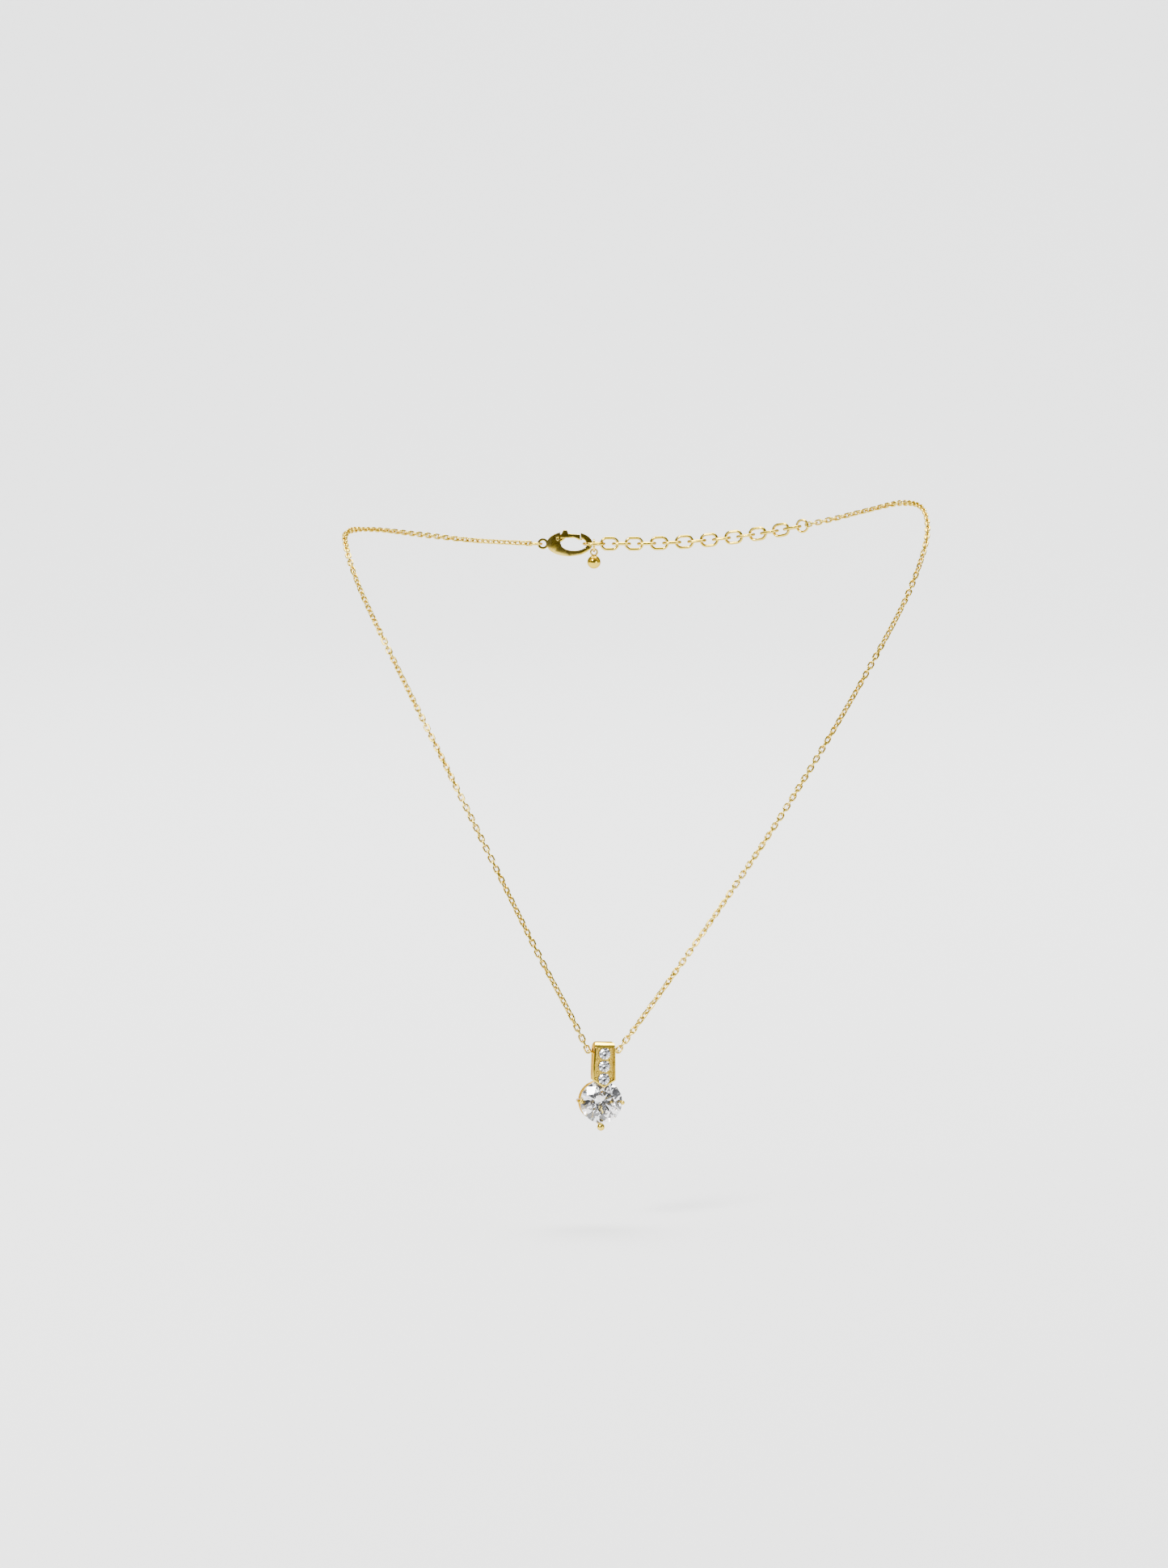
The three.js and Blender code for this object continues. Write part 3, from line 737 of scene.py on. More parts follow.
def applied(body: Body) -> Body:
    """Makes an object's modifiers part of its mesh.

    Args:
        body: the object.

    Returns:
        The same object, with no modifiers.
    """
    graph = bpy.context.evaluated_depsgraph_get()
    graph.update()
    fresh = bpy.data.meshes.new_from_object(body.evaluated_get(graph))
    body.modifiers.clear()
    old = body.data
    body.data = fresh
    fresh.name = body.name
    bpy.data.meshes.remove(old)
    return body


def cut(
    body: Body, tool: Body, operation: str = "DIFFERENCE"
) -> Body:
    """Cuts, joins or intersects two closed bodies and drops the second.

    Args:
        body: the body that stays.
        tool: the body that is used up.
        operation: DIFFERENCE, UNION or INTERSECT.

    Returns:
        The body.
    """
    step = body.modifiers.new("cut", "BOOLEAN")
    step.operation = operation
    step.solver = "EXACT"
    step.object = tool
    applied(body)
    bpy.data.meshes.remove(tool.data)
    return body


def soften(
    body: Body, width: float, segments: int = 3, angle: float = 32.0
) -> Body:
    """Rounds the sharp edges of a body.

    Args:
        body: the body.
        width: the width of the rounding.
        segments: steps across it.
        angle: edges sharper than this many degrees are rounded.

    Returns:
        The body.
    """
    step = body.modifiers.new("soften", "BEVEL")
    step.width = width
    step.segments = segments
    step.limit_method = "ANGLE"
    step.angle_limit = math.radians(angle)
    step.use_clamp_overlap = True
    step.harden_normals = False
    return applied(body)


def shade(body: Body, angle: float = 40.0) -> Body:
    """Shades a body smooth, with edges sharper than the angle left crisp.

    Args:
        body: the body.
        angle: the angle in degrees; 0 leaves every facet flat.

    Returns:
        The body.
    """
    work = bmesh.new()
    work.from_mesh(body.data)
    limit = math.radians(angle)
    for face in work.faces:
        face.smooth = angle > 0
    for edge in work.edges:
        edge.smooth = len(edge.link_faces) == 2 and edge.calc_face_angle(0.0) < limit
    work.to_mesh(body.data)
    work.free()
    return body


def finish_piece(
    piece: Body,
    material: Material,
    body: str,
    nodes: Sequence[str],
) -> Body:
    """Gives a piece its finish and its place in the part.

    Args:
        piece: the piece.
        material: its finish.
        body: the CAD body that it rides on.
        nodes: the CAD nodes that it stands for.

    Returns:
        The piece.
    """
    if not piece.data.materials:
        piece.data.materials.append(material)
    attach(piece, body)
    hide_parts(*nodes)
    LOG.info("%s: %d faces on %s", piece.name, len(piece.data.polygons), body)
    return piece


# ---- Cut stones -------------------------------------------------------------------------------


@dataclass
class RoundBrilliant:
    """A round brilliant, its table towards -Y and its girdle plane at y = 0."""

    diameter: float
    table_ratio: float = 0.57
    crown_angle: float = 34.0
    pavilion_ratio: float = 0.43
    girdle_ratio: float = 0.03
    star_ratio: float = 0.55
    lower_ratio: float = 0.77
    room: float = 0.0

    def build(self, name: str) -> Body:
        """Cuts the stone as the hull of its corners, which gives its facets.

        Args:
            name: the object's name.

        Returns:
            The stone.
        """
        girdle = self.diameter / 2 + self.room
        table = self.table_ratio * self.diameter / 2 + self.room
        half = self.girdle_ratio * self.diameter / 2 + self.room
        crown = (girdle - table) * math.tan(math.radians(self.crown_angle))
        pavilion = self.pavilion_ratio * self.diameter + self.room
        step = math.pi / 8
        table_edge = table * math.cos(step)
        star = table_edge + self.star_ratio * (girdle - table_edge)
        star_height = crown * (girdle - star * math.cos(step)) / (girdle - table)
        lower = girdle * (1 - self.lower_ratio)
        lower_depth = pavilion * (1 - lower * math.cos(step) / girdle)
        work = bmesh.new()
        rings = [
            (table, -half - crown, 0.0, 8),
            (star, -half - star_height, step, 8),
            (girdle, -half, 0.0, 16),
            (girdle, half, 0.0, 16),
            (lower, half + lower_depth, step, 8),
        ]
        for radius, y, first, count in rings:
            for i in range(count):
                angle = first + 2 * math.pi * i / count
                work.verts.new((radius * math.sin(angle), y, radius * math.cos(angle)))
        work.verts.new((0.0, half + pavilion, 0.0))
        bmesh.ops.convex_hull(work, input=work.verts)
        flat = math.radians(0.4)
        bmesh.ops.dissolve_limit(work, angle_limit=flat, verts=work.verts, edges=work.edges)
        bmesh.ops.recalc_face_normals(work, faces=work.faces)
        mesh = bpy.data.meshes.new(name)
        work.to_mesh(mesh)
        work.free()
        return linked(name, mesh)


# ---- Chain ------------------------------------------------------------------------------------


@dataclass
class CableChain:
    """The fine cable chain: two strands of oval links and five single links under the bail."""

    finishes: Finishes
    seat: Vector
    link_length: float = 2.12 * MM
    link_width: float = 1.4 * MM
    wire: float = 0.42 * MM
    pitch: float = 1.25 * MM
    bail_pitch: float = 1.2 * MM
    end_wire: float = 0.55 * MM
    end_ring: float = 3.2 * MM
    segments: int = 18
    sides: int = 7
    route_steps: int = 24
    first_rise: float = 5.0
    second_rise: float = 20.0
    twist: float = 34.0
    twist_wave: float = 41 * MM
    wobble: float = 5.0
    seed: int = 7

    def hook_reach(self) -> float:
        """The distance from a link's middle to the middle of its end wire."""
        return (self.link_length - self.wire) / 2

    def flank(self, side: Side) -> list[tuple[Vector, float]]:
        """Places of the two single links on one side, and then of the hook for the strand.

        Args:
            side: which side.

        Returns:
            The place and rise of the first link, of the second link, and of the hook.
        """
        reach, step = self.hook_reach(), self.bail_pitch - self.hook_reach()

        def away(rise: float) -> Vector:
            """The direction outwards at a rise in degrees."""
            turn = math.radians(rise)
            return Vector((side.value * math.cos(turn), 0.0, math.sin(turn)))

        first = Vector((side.value * reach, 0.0, 0.0)) + away(self.first_rise) * step
        hook = first + away(self.first_rise) * reach
        second = hook + away(self.second_rise) * step
        last = second + away(self.second_rise) * reach
        return [(first, self.first_rise), (second, self.second_rise), (last, 0.0)]

    def single(self, name: str, body: str, place: Vector, rise: float, lie: Lie) -> None:
        """Makes one single link under the bail.

        Args:
            name: the CAD node that it stands for.
            body: the body that it rides on.
            place: its middle, from the bail's seat.
            rise: its slope in degrees, upwards to +X.
            lie: flat or on edge.
        """
        link = oval_ring("look_" + name, self.link_length, self.link_width, self.wire, 22, 10)
        slope = Matrix.Rotation(-math.radians(rise), 4, "Y")
        roll = Matrix.Rotation(math.radians(lie.value), 4, "X")
        link.data.transform(Matrix.Translation(self.seat + place) @ slope @ roll)
        finish_piece(shade(link, 60), self.finishes.gold, body, [name])

    def singles(self) -> None:
        """Makes the five single links."""
        self.single("bail_link_3", "bail_link", Vector(), 0.0, Lie.FLAT)
        for side in Side:
            links = zip((1, 2), (Lie.ON_EDGE, Lie.FLAT), self.flank(side))
            for step, lie, (place, rise) in links:
                name = f"bail_link_{3 + side.value * step}"
                self.single(name, "necklace", place, side.value * rise, lie)

    def links_tree(self) -> tuple[bpy.types.NodeTree, dict[str, str]]:
        """Builds the tree that sets links along a route.

        Returns:
            The tree, and the identifier of each named input.
        """
        tree = bpy.data.node_groups.new("cable_links", "GeometryNodeTree")
        face = tree.interface
        face.new_socket("Route", in_out="INPUT", socket_type="NodeSocketGeometry")
        sizes = {
            "Pitch": self.pitch,
            "Link width": self.link_width,
            "Link length": self.link_length,
            "Wire": self.wire,
            "Wobble": math.radians(self.wobble),
        }
        names: dict[str, str] = {}
        for label, value in sizes.items():
            socket = face.new_socket(label, in_out="INPUT", socket_type="NodeSocketFloat")
            socket.default_value = value
            names[label] = socket.identifier
        face.new_socket("Links", in_out="OUTPUT", socket_type="NodeSocketGeometry")
        bench = NodeBench(tree)
        entry = tree.nodes.new("NodeGroupInput")
        given = {socket.name: Signal(bench, socket) for socket in entry.outputs if socket.name}
        link = self.link_nodes(bench, given)
        curve = bench.add("GeometryNodeMeshToCurve", None, {"Mesh": given["Route"]})
        every = {"Curve": curve, "Length": given["Pitch"]}
        spaced = bench.add("GeometryNodeResampleCurve", {"mode": "LENGTH"}, every)
        along = bench.add("GeometryNodeInputTangent")
        named = "GeometryNodeInputNamedAttribute"
        facing = bench.add(named, {"data_type": "FLOAT_VECTOR"}, {"Name": "facing"})
        twist = bench.add(named, {"data_type": "FLOAT"}, {"Name": "twist"})
        axes = {"primary_axis": "X", "secondary_axis": "Z"}
        aim = bench.add("FunctionNodeAxesToRotation", axes, {0: along, 1: facing})
        number = bench.add("GeometryNodeInputIndex")
        odd = bench.add("ShaderNodeMath", {"operation": "FLOORED_MODULO"}, {0: number, 1: 2.0})
        draw = {"ID": number, "Seed": self.seed}
        jitter = bench.add("FunctionNodeRandomValue", {"data_type": "FLOAT"}, draw, 1)
        roll = odd * (math.pi / 2) + twist + (jitter - 0.5) * given["Wobble"]
        spin = {"Axis": (1.0, 0.0, 0.0), "Angle": roll}
        turn = bench.add("FunctionNodeAxisAngleToRotation", None, spin)
        both = {"Rotation": aim, "Rotate By": turn}
        rotation = bench.add("FunctionNodeRotateRotation", {"rotation_space": "LOCAL"}, both)
        sockets = {"Points": spaced, "Instance": link, "Rotation": rotation}
        placed = bench.add("GeometryNodeInstanceOnPoints", None, sockets)
        real = bench.add("GeometryNodeRealizeInstances", None, {"Geometry": placed})
        coat = {"Geometry": real, "Material": self.finishes.gold}
        dressed = bench.add("GeometryNodeSetMaterial", None, coat)
        leave = tree.nodes.new("NodeGroupOutput")
        tree.links.new(dressed.socket, leave.inputs[0])
        return tree, names

    def link_nodes(self, bench: NodeBench, given: dict[str, Signal]) -> Signal:
        """Adds the nodes that make one oval link.

        Args:
            bench: the tree's bench.
            given: the tree's inputs by name.

        Returns:
            The link's mesh.
        """
        radius = (given["Link width"] - given["Wire"]) * 0.5
        round_curve, by_radius = "GeometryNodeCurvePrimitiveCircle", {"mode": "RADIUS"}
        circle = bench.add(round_curve, by_radius, {"Resolution": self.segments, "Radius": radius})
        place = bench.add("GeometryNodeInputPosition")
        along = bench.add("ShaderNodeSeparateXYZ", None, {0: place})
        sign = bench.add("ShaderNodeMath", {"operation": "SIGN"}, {0: along})
        shift = sign * (given["Link length"] - given["Link width"]) * 0.5
        offset = bench.add("ShaderNodeCombineXYZ", None, {0: shift})
        oval = bench.add("GeometryNodeSetPosition", None, {"Geometry": circle, "Offset": offset})
        half = given["Wire"] * 0.5
        section = bench.add(round_curve, by_radius, {"Resolution": self.sides, "Radius": half})
        return bench.add("GeometryNodeCurveToMesh", None, {"Curve": oval, "Profile Curve": section})

    def strand(self, side: Side, ring_node: str, node: str, route: Sequence[Point]) -> None:
        """Makes one strand of links from the bail to its end ring.

        Args:
            side: which side.
            ring_node: the CAD node of the ring at its far end.
            node: the CAD node that it stands for.
            route: the strand's centre line in millimetres.
        """
        low, high = (Vector(corner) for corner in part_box(ring_node))
        ring = (low + high) / 2
        hook = self.seat + self.flank(side)[2][0]
        points = [hook] + [Vector(p) * MM for p in route[:-1]]
        inward = (points[-1] - ring).normalized()
        ring_reach = (self.end_ring - self.end_wire) / 2
        points.append(ring + inward * (ring_reach - (self.end_wire + self.wire) / 2 - 0.02 * MM))
        line = smooth_route(points, self.route_steps)
        first = self.bail_pitch - self.hook_reach()
        line = cut_route(line, first, route_length(line) - self.hook_reach())
        span = route_length(line)
        count = round(span / self.pitch)
        carrier = self.carrier("look_" + node, line)
        tree, names = self.links_tree()
        step = carrier.modifiers.new("links", "NODES")
        step.node_group = tree
        step[names["Pitch"]] = span / (count - 0.01)
        chain = shade(applied(carrier), 60)
        finish_piece(chain, self.finishes.gold, "necklace", [node])
        LOG.info("%s: %d links, %.1f mm", node, count, span / MM)

    def carrier(self, name: str, line: Sequence[Vector]) -> Body:
        """Makes the bare line that the links follow, with the way that they face at each point.

        Args:
            name: the object's name.
            line: the points of the line.

        Returns:
            The line as an object.
        """
        mesh = bpy.data.meshes.new(name)
        mesh.from_pydata([tuple(p) for p in line], [(i, i + 1) for i in range(len(line) - 1)], [])
        mesh.attributes.new("facing", "FLOAT_VECTOR", "POINT")
        mesh.attributes.new("twist", "FLOAT", "POINT")
        facing, twist = mesh.attributes["facing"], mesh.attributes["twist"]
        side = Vector((0.0, -1.0, 0.0))
        walked = 0.0
        for i, tangent in enumerate(route_tangents(line)):
            side = (side - tangent * side.dot(tangent)).normalized()
            facing.data[i].vector = side
            phase = walked / self.twist_wave
            wave = math.sin(2 * math.pi * phase) + 0.6 * math.sin(4.1 * phase)
            ease = min(1.0, walked / (8 * self.pitch))
            twist.data[i].value = math.radians(self.twist) * wave * ease
            if i + 1 < len(line):
                walked += (line[i + 1] - line[i]).length
        return linked(name, mesh)

    def build(self) -> None:
        """Makes both strands and the single links."""
        self.strand(Side.LEFT, "end_ring_left", "chain_left", LEFT_ROUTE)
        self.strand(Side.RIGHT, "end_ring_right", "chain_right", RIGHT_ROUTE)
        self.singles()


# ---- Pendant ----------------------------------------------------------------------------------


@dataclass
class Bail:
    """The bail: the stone-set shield in front and the polished strap behind it."""

    finishes: Finishes
    place: Matrix
    width: float = 4.4 * MM
    slot_depth: float = 2.6 * MM
    shield_thickness: float = 1.4 * MM
    shoulder_width: float = 5.0 * MM
    shield_top: float = 1.3 * MM
    shoulder: float = -5.5 * MM
    point: float = -7.15 * MM
    rim: float = 0.35 * MM
    floor_depth: float = 0.55 * MM
    strap_thickness: float = 0.6 * MM
    cap_top: float = 2.5 * MM
    cap_corner: tuple[float, float] = (0.7 * MM, 1.2 * MM)
    foot_top: float = -4.9 * MM
    foot_bottom: float = -5.55 * MM
    chain_width: float = 1.4 * MM
    chain_room: float = 0.3 * MM
    fit: float = 0.05 * MM
    accent_diameter: float = 2.4 * MM
    accent_pitch: float = 2.65 * MM
    accent_count: int = 3
    accent_proud: float = 0.1 * MM
    light_hole: float = 0.8 * MM
    bead_radius: float = 0.27 * MM
    bead_spread: float = 1.36 * MM
    bead_corner: float = 0.1 * MM
    bead_foot_spread: float = 1.65 * MM
    bead_lift: float = 0.12 * MM
    strap_heel: tuple[float, float] = (0.35 * MM, 0.2 * MM)
    strap_bevel: float = 0.3 * MM

    def slot_front(self) -> float:
        """The y of the shield's back."""
        return -self.slot_depth / 2

    def shield_front(self) -> float:
        """The y of the shield's rim."""
        return self.slot_front() - self.shield_thickness

    def strap_back(self) -> float:
        """The y of the strap's back."""
        return self.slot_depth / 2 + self.strap_thickness

    def accent_girdle(self) -> float:
        """The y of the accent stones' girdle plane."""
        return self.shield_front() + self.accent_proud + 0.015 * self.accent_diameter + 0.1 * MM

    def outline(self, inset: float, top: float) -> Outline:
        """The shield's outline, drawn in by an inset.

        Args:
            inset: how far inside the edge.
            top: the z of its top edge.

        Returns:
            The corners.
        """
        half = self.width / 2 - inset
        shoulder = self.shoulder_width / 2 - inset
        slope = math.hypot(self.shoulder_width / 2, self.shoulder - self.point)
        lift = inset * slope / (self.shoulder_width / 2)
        return [
            (-half, top),
            (-shoulder, self.shoulder + inset / 2),
            (0.0, self.point + lift),
            (shoulder, self.shoulder + inset / 2),
            (half, top),
        ]

    def shield(self) -> None:
        """Makes the shield with its rim, floor, stone seats and grain beads."""
        front, back = self.shield_front(), self.slot_front()
        floor = front + self.floor_depth
        plate = prism("look_bail_shield", self.outline(0.0, self.shield_top), front, back)
        plate = soften(plate, 0.12 * MM, 3)
        plate.data.materials.append(self.finishes.gold)
        plate.data.materials.append(self.finishes.channel)
        channel = prism("channel", self.outline(self.rim, self.shield_top + MM), front - MM, floor)
        channel.data.materials.append(self.finishes.gold)
        channel.data.materials.append(self.finishes.channel)
        for face in channel.data.polygons:
            face.material_index = 1
        cut(plate, channel)
        for row in range(self.accent_count):
            z = -row * self.accent_pitch
            seat = RoundBrilliant(self.accent_diameter, room=self.fit).build("seat")
            seat.data.transform(Matrix.Translation((0.0, self.accent_girdle(), z)))
            cut(plate, seat)
            profile = self.rod(self.light_hole / 2, self.accent_girdle() + 0.2 * MM, back + MM)
            hole = lathe("hole", profile, 24)
            hole.data.transform(Matrix.Translation((0.0, 0.0, z)))
            cut(plate, hole)
        for spread, height in self.bead_rows():
            for side in Side:
                lift = floor - self.bead_lift
                centre = Vector((side.value * spread, lift, height))
                cut(plate, ball("grain", centre, self.bead_radius, 10), "UNION")
                stem = lathe("stem", self.rod(0.8 * self.bead_radius, lift, floor + 0.1 * MM), 16)
                stem.data.transform(Matrix.Translation((side.value * spread, 0.0, height)))
                cut(plate, stem, "UNION")
        plate.data.transform(self.place)
        finish_piece(shade(plate, 35), self.finishes.gold, "pendant", ["bail_shield"])

    def bead_rows(self) -> list[tuple[float, float]]:
        """The distance from the middle and the z of each pair of grain beads."""
        half_pitch, gaps = self.accent_pitch / 2, range(1, self.accent_count)
        rows = [(self.bead_spread, half_pitch - row * self.accent_pitch) for row in gaps]
        rows.append((self.bead_spread - self.bead_corner, half_pitch - self.bead_radius - self.fit))
        rows.append((self.bead_foot_spread, -self.accent_pitch * (self.accent_count - 1)))
        return rows

    @staticmethod
    def rod(radius: float, front: float, back: float) -> Outline:
        """The profile of a plain rod along y.

        Args:
            radius: its radius.
            front: its lower y.
            back: its higher y.

        Returns:
            The profile for the lathe.
        """
        return [(0.0, front), (radius, front), (radius, back), (0.0, back)]

    def side_view(self) -> Outline:
        """The strap's outline in y and z.

        Returns:
            The corners.
        """
        corners: Outline = []

        def arc(y: float, z: float, radius: float, start: float, end: float, count: int) -> None:
            """Adds an arc from one angle to another, in degrees."""
            for i in range(count + 1):
                angle = math.radians(start + (end - start) * i / count)
                corners.append((y + radius * math.cos(angle), z + radius * math.sin(angle)))

        radius = (self.strap_back() - self.shield_front()) / 2
        cap_y = (self.strap_back() + self.shield_front()) / 2
        cap_z = self.cap_top - radius
        slot = self.slot_depth / 2
        slot_z = self.chain_width / 2 + self.chain_room - slot
        inner = self.slot_front() + self.fit
        edge = self.shield_top + self.fit
        start = 180 - math.degrees(math.asin((edge - cap_z) / radius))
        end = 180 - math.degrees(math.acos(-inner / slot))
        arc(cap_y, cap_z, radius, start, 0.0, 40)
        heel, heel_rise = self.strap_heel
        corners.append((self.strap_back(), self.foot_top + heel_rise))
        corners.append((self.strap_back() - heel, self.foot_bottom))
        corners += [(inner, self.foot_bottom), (inner, self.foot_top)]
        corners.append((slot - self.strap_bevel, self.foot_top))
        corners.append((slot, self.foot_top + self.strap_bevel))
        arc(0.0, slot_z, slot, 0.0, end, 28)
        corners.append((inner, edge))
        return corners

    def cap_front(self) -> Body:
        """A block whose front view has the rounded corners of the cap.

        Returns:
            The block.
        """
        across, down = self.cap_corner
        low, steps = self.foot_bottom - MM, 24
        outline = [(-self.width, low), (self.width, low), (self.width, self.cap_top - down)]
        for i in range(steps + 1):
            angle = math.pi * i / steps
            side = (2 * i < steps) - (2 * i > steps)
            x = side * (self.width / 2 - across) + across * math.cos(angle)
            outline.append((x, self.cap_top - down * (1 - math.sin(angle))))
        outline.append((-self.width, self.cap_top - down))
        return prism("cap_front", outline, self.shield_front() - MM, self.strap_back() + MM)

    def strap(self) -> None:
        """Makes the strap with its rounded cap."""
        outline = self.side_view()
        strap = prism("look_bail_strap", outline, -self.width / 2, self.width / 2)
        mirror = Matrix.Scale(-1, 4, Vector((0, 1, 0)))
        strap.data.transform(Matrix.Rotation(math.pi / 2, 4, "Z") @ mirror)
        strap.data.flip_normals()
        cut(strap, self.cap_front(), "INTERSECT")
        strap = soften(strap, 0.18 * MM, 4, 50)
        strap.data.transform(self.place)
        finish_piece(shade(strap, 35), self.finishes.gold, "pendant", ["bail_strap"])

    def accents(self) -> None:
        """Makes the three accent stones."""
        for row, word in enumerate(("top", "middle", "bottom")):
            name = "accent_stone_" + word
            stone = RoundBrilliant(self.accent_diameter).build("look_" + name)
            shift = Matrix.Translation((0.0, self.accent_girdle(), -row * self.accent_pitch))
            stone.data.transform(self.place @ shift)
            finish_piece(shade(stone, 0), self.finishes.crystal, "pendant", [name])

    def build(self) -> None:
        """Makes the shield, the strap and the accent stones."""
        self.shield()
        self.strap()
        self.accents()


@dataclass
class MainSetting:
    """The main stone and the basket that holds it, drawn from the middle of the stone's girdle."""

    finishes: Finishes
    place: Matrix
    post_front: float
    post_height: float
    stone_diameter: float = 9.0 * MM
    seat_inset: float = 0.68 * MM
    seat_wire: float = 0.6 * MM
    seat_depth: float = 1.25 * MM
    ring_inset: float = 0.2 * MM
    ring_width: float = 0.75 * MM
    ring_back: float = 4.25 * MM
    ring_thickness: float = 0.8 * MM
    prong_wire: float = 0.75 * MM
    prong_bite: float = 0.25 * MM
    prong_foot_inset: float = 0.25 * MM
    claw_width: float = 0.9 * MM
    claw_lap: float = 0.1 * MM
    claw_rise: float = 0.87 * MM
    ball_width: float = 1.6 * MM
    ball_outset: float = 0.6 * MM
    ball_rise: float = 0.51 * MM
    post_width: float = 1.0 * MM
    fit: float = 0.05 * MM

    def ring_outer(self) -> float:
        """The base ring's outer radius."""
        return self.stone_diameter / 2 - self.ring_inset

    def ring_front(self) -> float:
        """The y of the base ring's front."""
        return self.ring_back - self.ring_thickness

    def prong_radius(self) -> float:
        """The distance of the prongs from the middle at the girdle."""
        return self.stone_diameter / 2 - self.prong_bite + self.prong_wire / 2

    def stone(self) -> None:
        """Makes the main stone."""
        stone = RoundBrilliant(self.stone_diameter).build("look_main_stone")
        stone.data.transform(self.place)
        finish_piece(shade(stone, 0), self.finishes.crystal, "pendant", ["main_stone"])

    def rings(self) -> None:
        """Makes the seat ring and the base ring with its prong notches."""
        half, steps = self.seat_wire / 2, 14
        radius = self.stone_diameter / 2 - self.seat_inset
        depth, turns = self.seat_depth, [2 * math.pi * i / steps for i in range(steps)]
        section = [(radius + half * math.cos(t), depth + half * math.sin(t)) for t in turns]
        seat = lathe("look_seat_ring", section, 72)
        seat.data.transform(self.place)
        finish_piece(shade(seat, 60), self.finishes.gold, "pendant", ["seat_ring"])
        outer, front, back = self.ring_outer(), self.ring_front(), self.ring_back
        inner = outer - self.ring_width
        profile = [(inner, front), (outer, front), (outer, back), (inner, back)]
        base = lathe("look_base_ring", profile, 96)
        reach = self.prong_radius() - self.prong_foot_inset
        for x, z in ((0.0, -reach), (reach, 0.0), (-reach, 0.0)):
            profile = Bail.rod(self.prong_wire / 2 + self.fit, front - MM, back + MM)
            notch = lathe("notch", profile, 24)
            notch.data.transform(Matrix.Translation((x, 0.0, z)))
            cut(base, notch)
        base = soften(base, 0.1 * MM, 2, 50)
        base.data.transform(self.place)
        finish_piece(shade(base, 40), self.finishes.gold, "pendant", ["base_ring"])

    def prong(self, node: str, clock: float, tip: tuple[float, float, float]) -> None:
        """Makes one prong.

        Args:
            node: the CAD node that it stands for.
            clock: where it stands, as an hour on a clock seen from behind.
            tip: the radius, rise and width of its rounded tip.
        """
        reach, rise, width = tip
        radius = self.prong_radius()
        guide = [
            Vector((0.0, self.ring_back - 0.2 * MM, self.prong_foot_inset - radius)),
            Vector((0.0, self.seat_depth + MM, 0.1 * MM - radius)),
            Vector((0.0, 0.0, -0.02 * MM - radius)),
            Vector((0.0, -rise, -reach)),
        ]
        line = smooth_route(guide, 8)
        prong = tube("look_" + node, line, self.prong_wire / 2, 20)
        cut(prong, ball("tip", Vector((0.0, -rise, -reach)), width / 2, 18), "UNION")
        prong.data.transform(Matrix.Rotation(math.radians(clock * 30 - 180), 4, "Y"))
        cut(prong, RoundBrilliant(self.stone_diameter, room=self.fit).build("room"))
        prong.data.transform(self.place)
        finish_piece(shade(prong, 40), self.finishes.gold, "pendant", [node])

    def post(self) -> None:
        """Makes the post that joins the bail to the base ring."""
        profile = Bail.rod(self.post_width / 2, self.post_front, self.ring_front() - self.fit)
        post = soften(lathe("look_bail_post", profile, 32), 0.08 * MM, 3)
        post.data.transform(self.place @ Matrix.Translation((0.0, 0.0, self.post_height)))
        finish_piece(shade(post, 40), self.finishes.gold, "pendant", ["bail_post"])

    def build(self) -> None:
        """Makes the stone, the rings, the prongs and the post."""
        self.stone()
        self.rings()
        claw = (self.stone_diameter / 2 - self.claw_lap, self.claw_rise, self.claw_width)
        end = (self.prong_radius() + self.ball_outset, self.ball_rise, self.ball_width)
        self.prong("prong_bottom", 6, end)
        self.prong("prong_right", 9, claw)
        self.prong("prong_left", 3, claw)
        self.post()


# ---- Back of the neck -------------------------------------------------------------------------


def pose_of(node: Body) -> Matrix:
    """Reads the place and the turn of a flat CAD piece from the spread of its corners.

    Args:
        node: the CAD node.

    Returns:
        A matrix whose x runs along the piece and whose z stands square to its flat side.
    """
    corners = numpy.array([tuple(v.co) for v in node.data.vertices])
    middle = corners.mean(axis=0)
    _, directions = numpy.linalg.eigh(numpy.cov((corners - middle).T))
    along, across = Vector(directions[:, 2]), Vector(directions[:, 1])
    flat = along.cross(across)
    turn = Matrix((along, across, flat)).transposed().to_4x4()
    return Matrix.Translation(Vector(middle)) @ turn


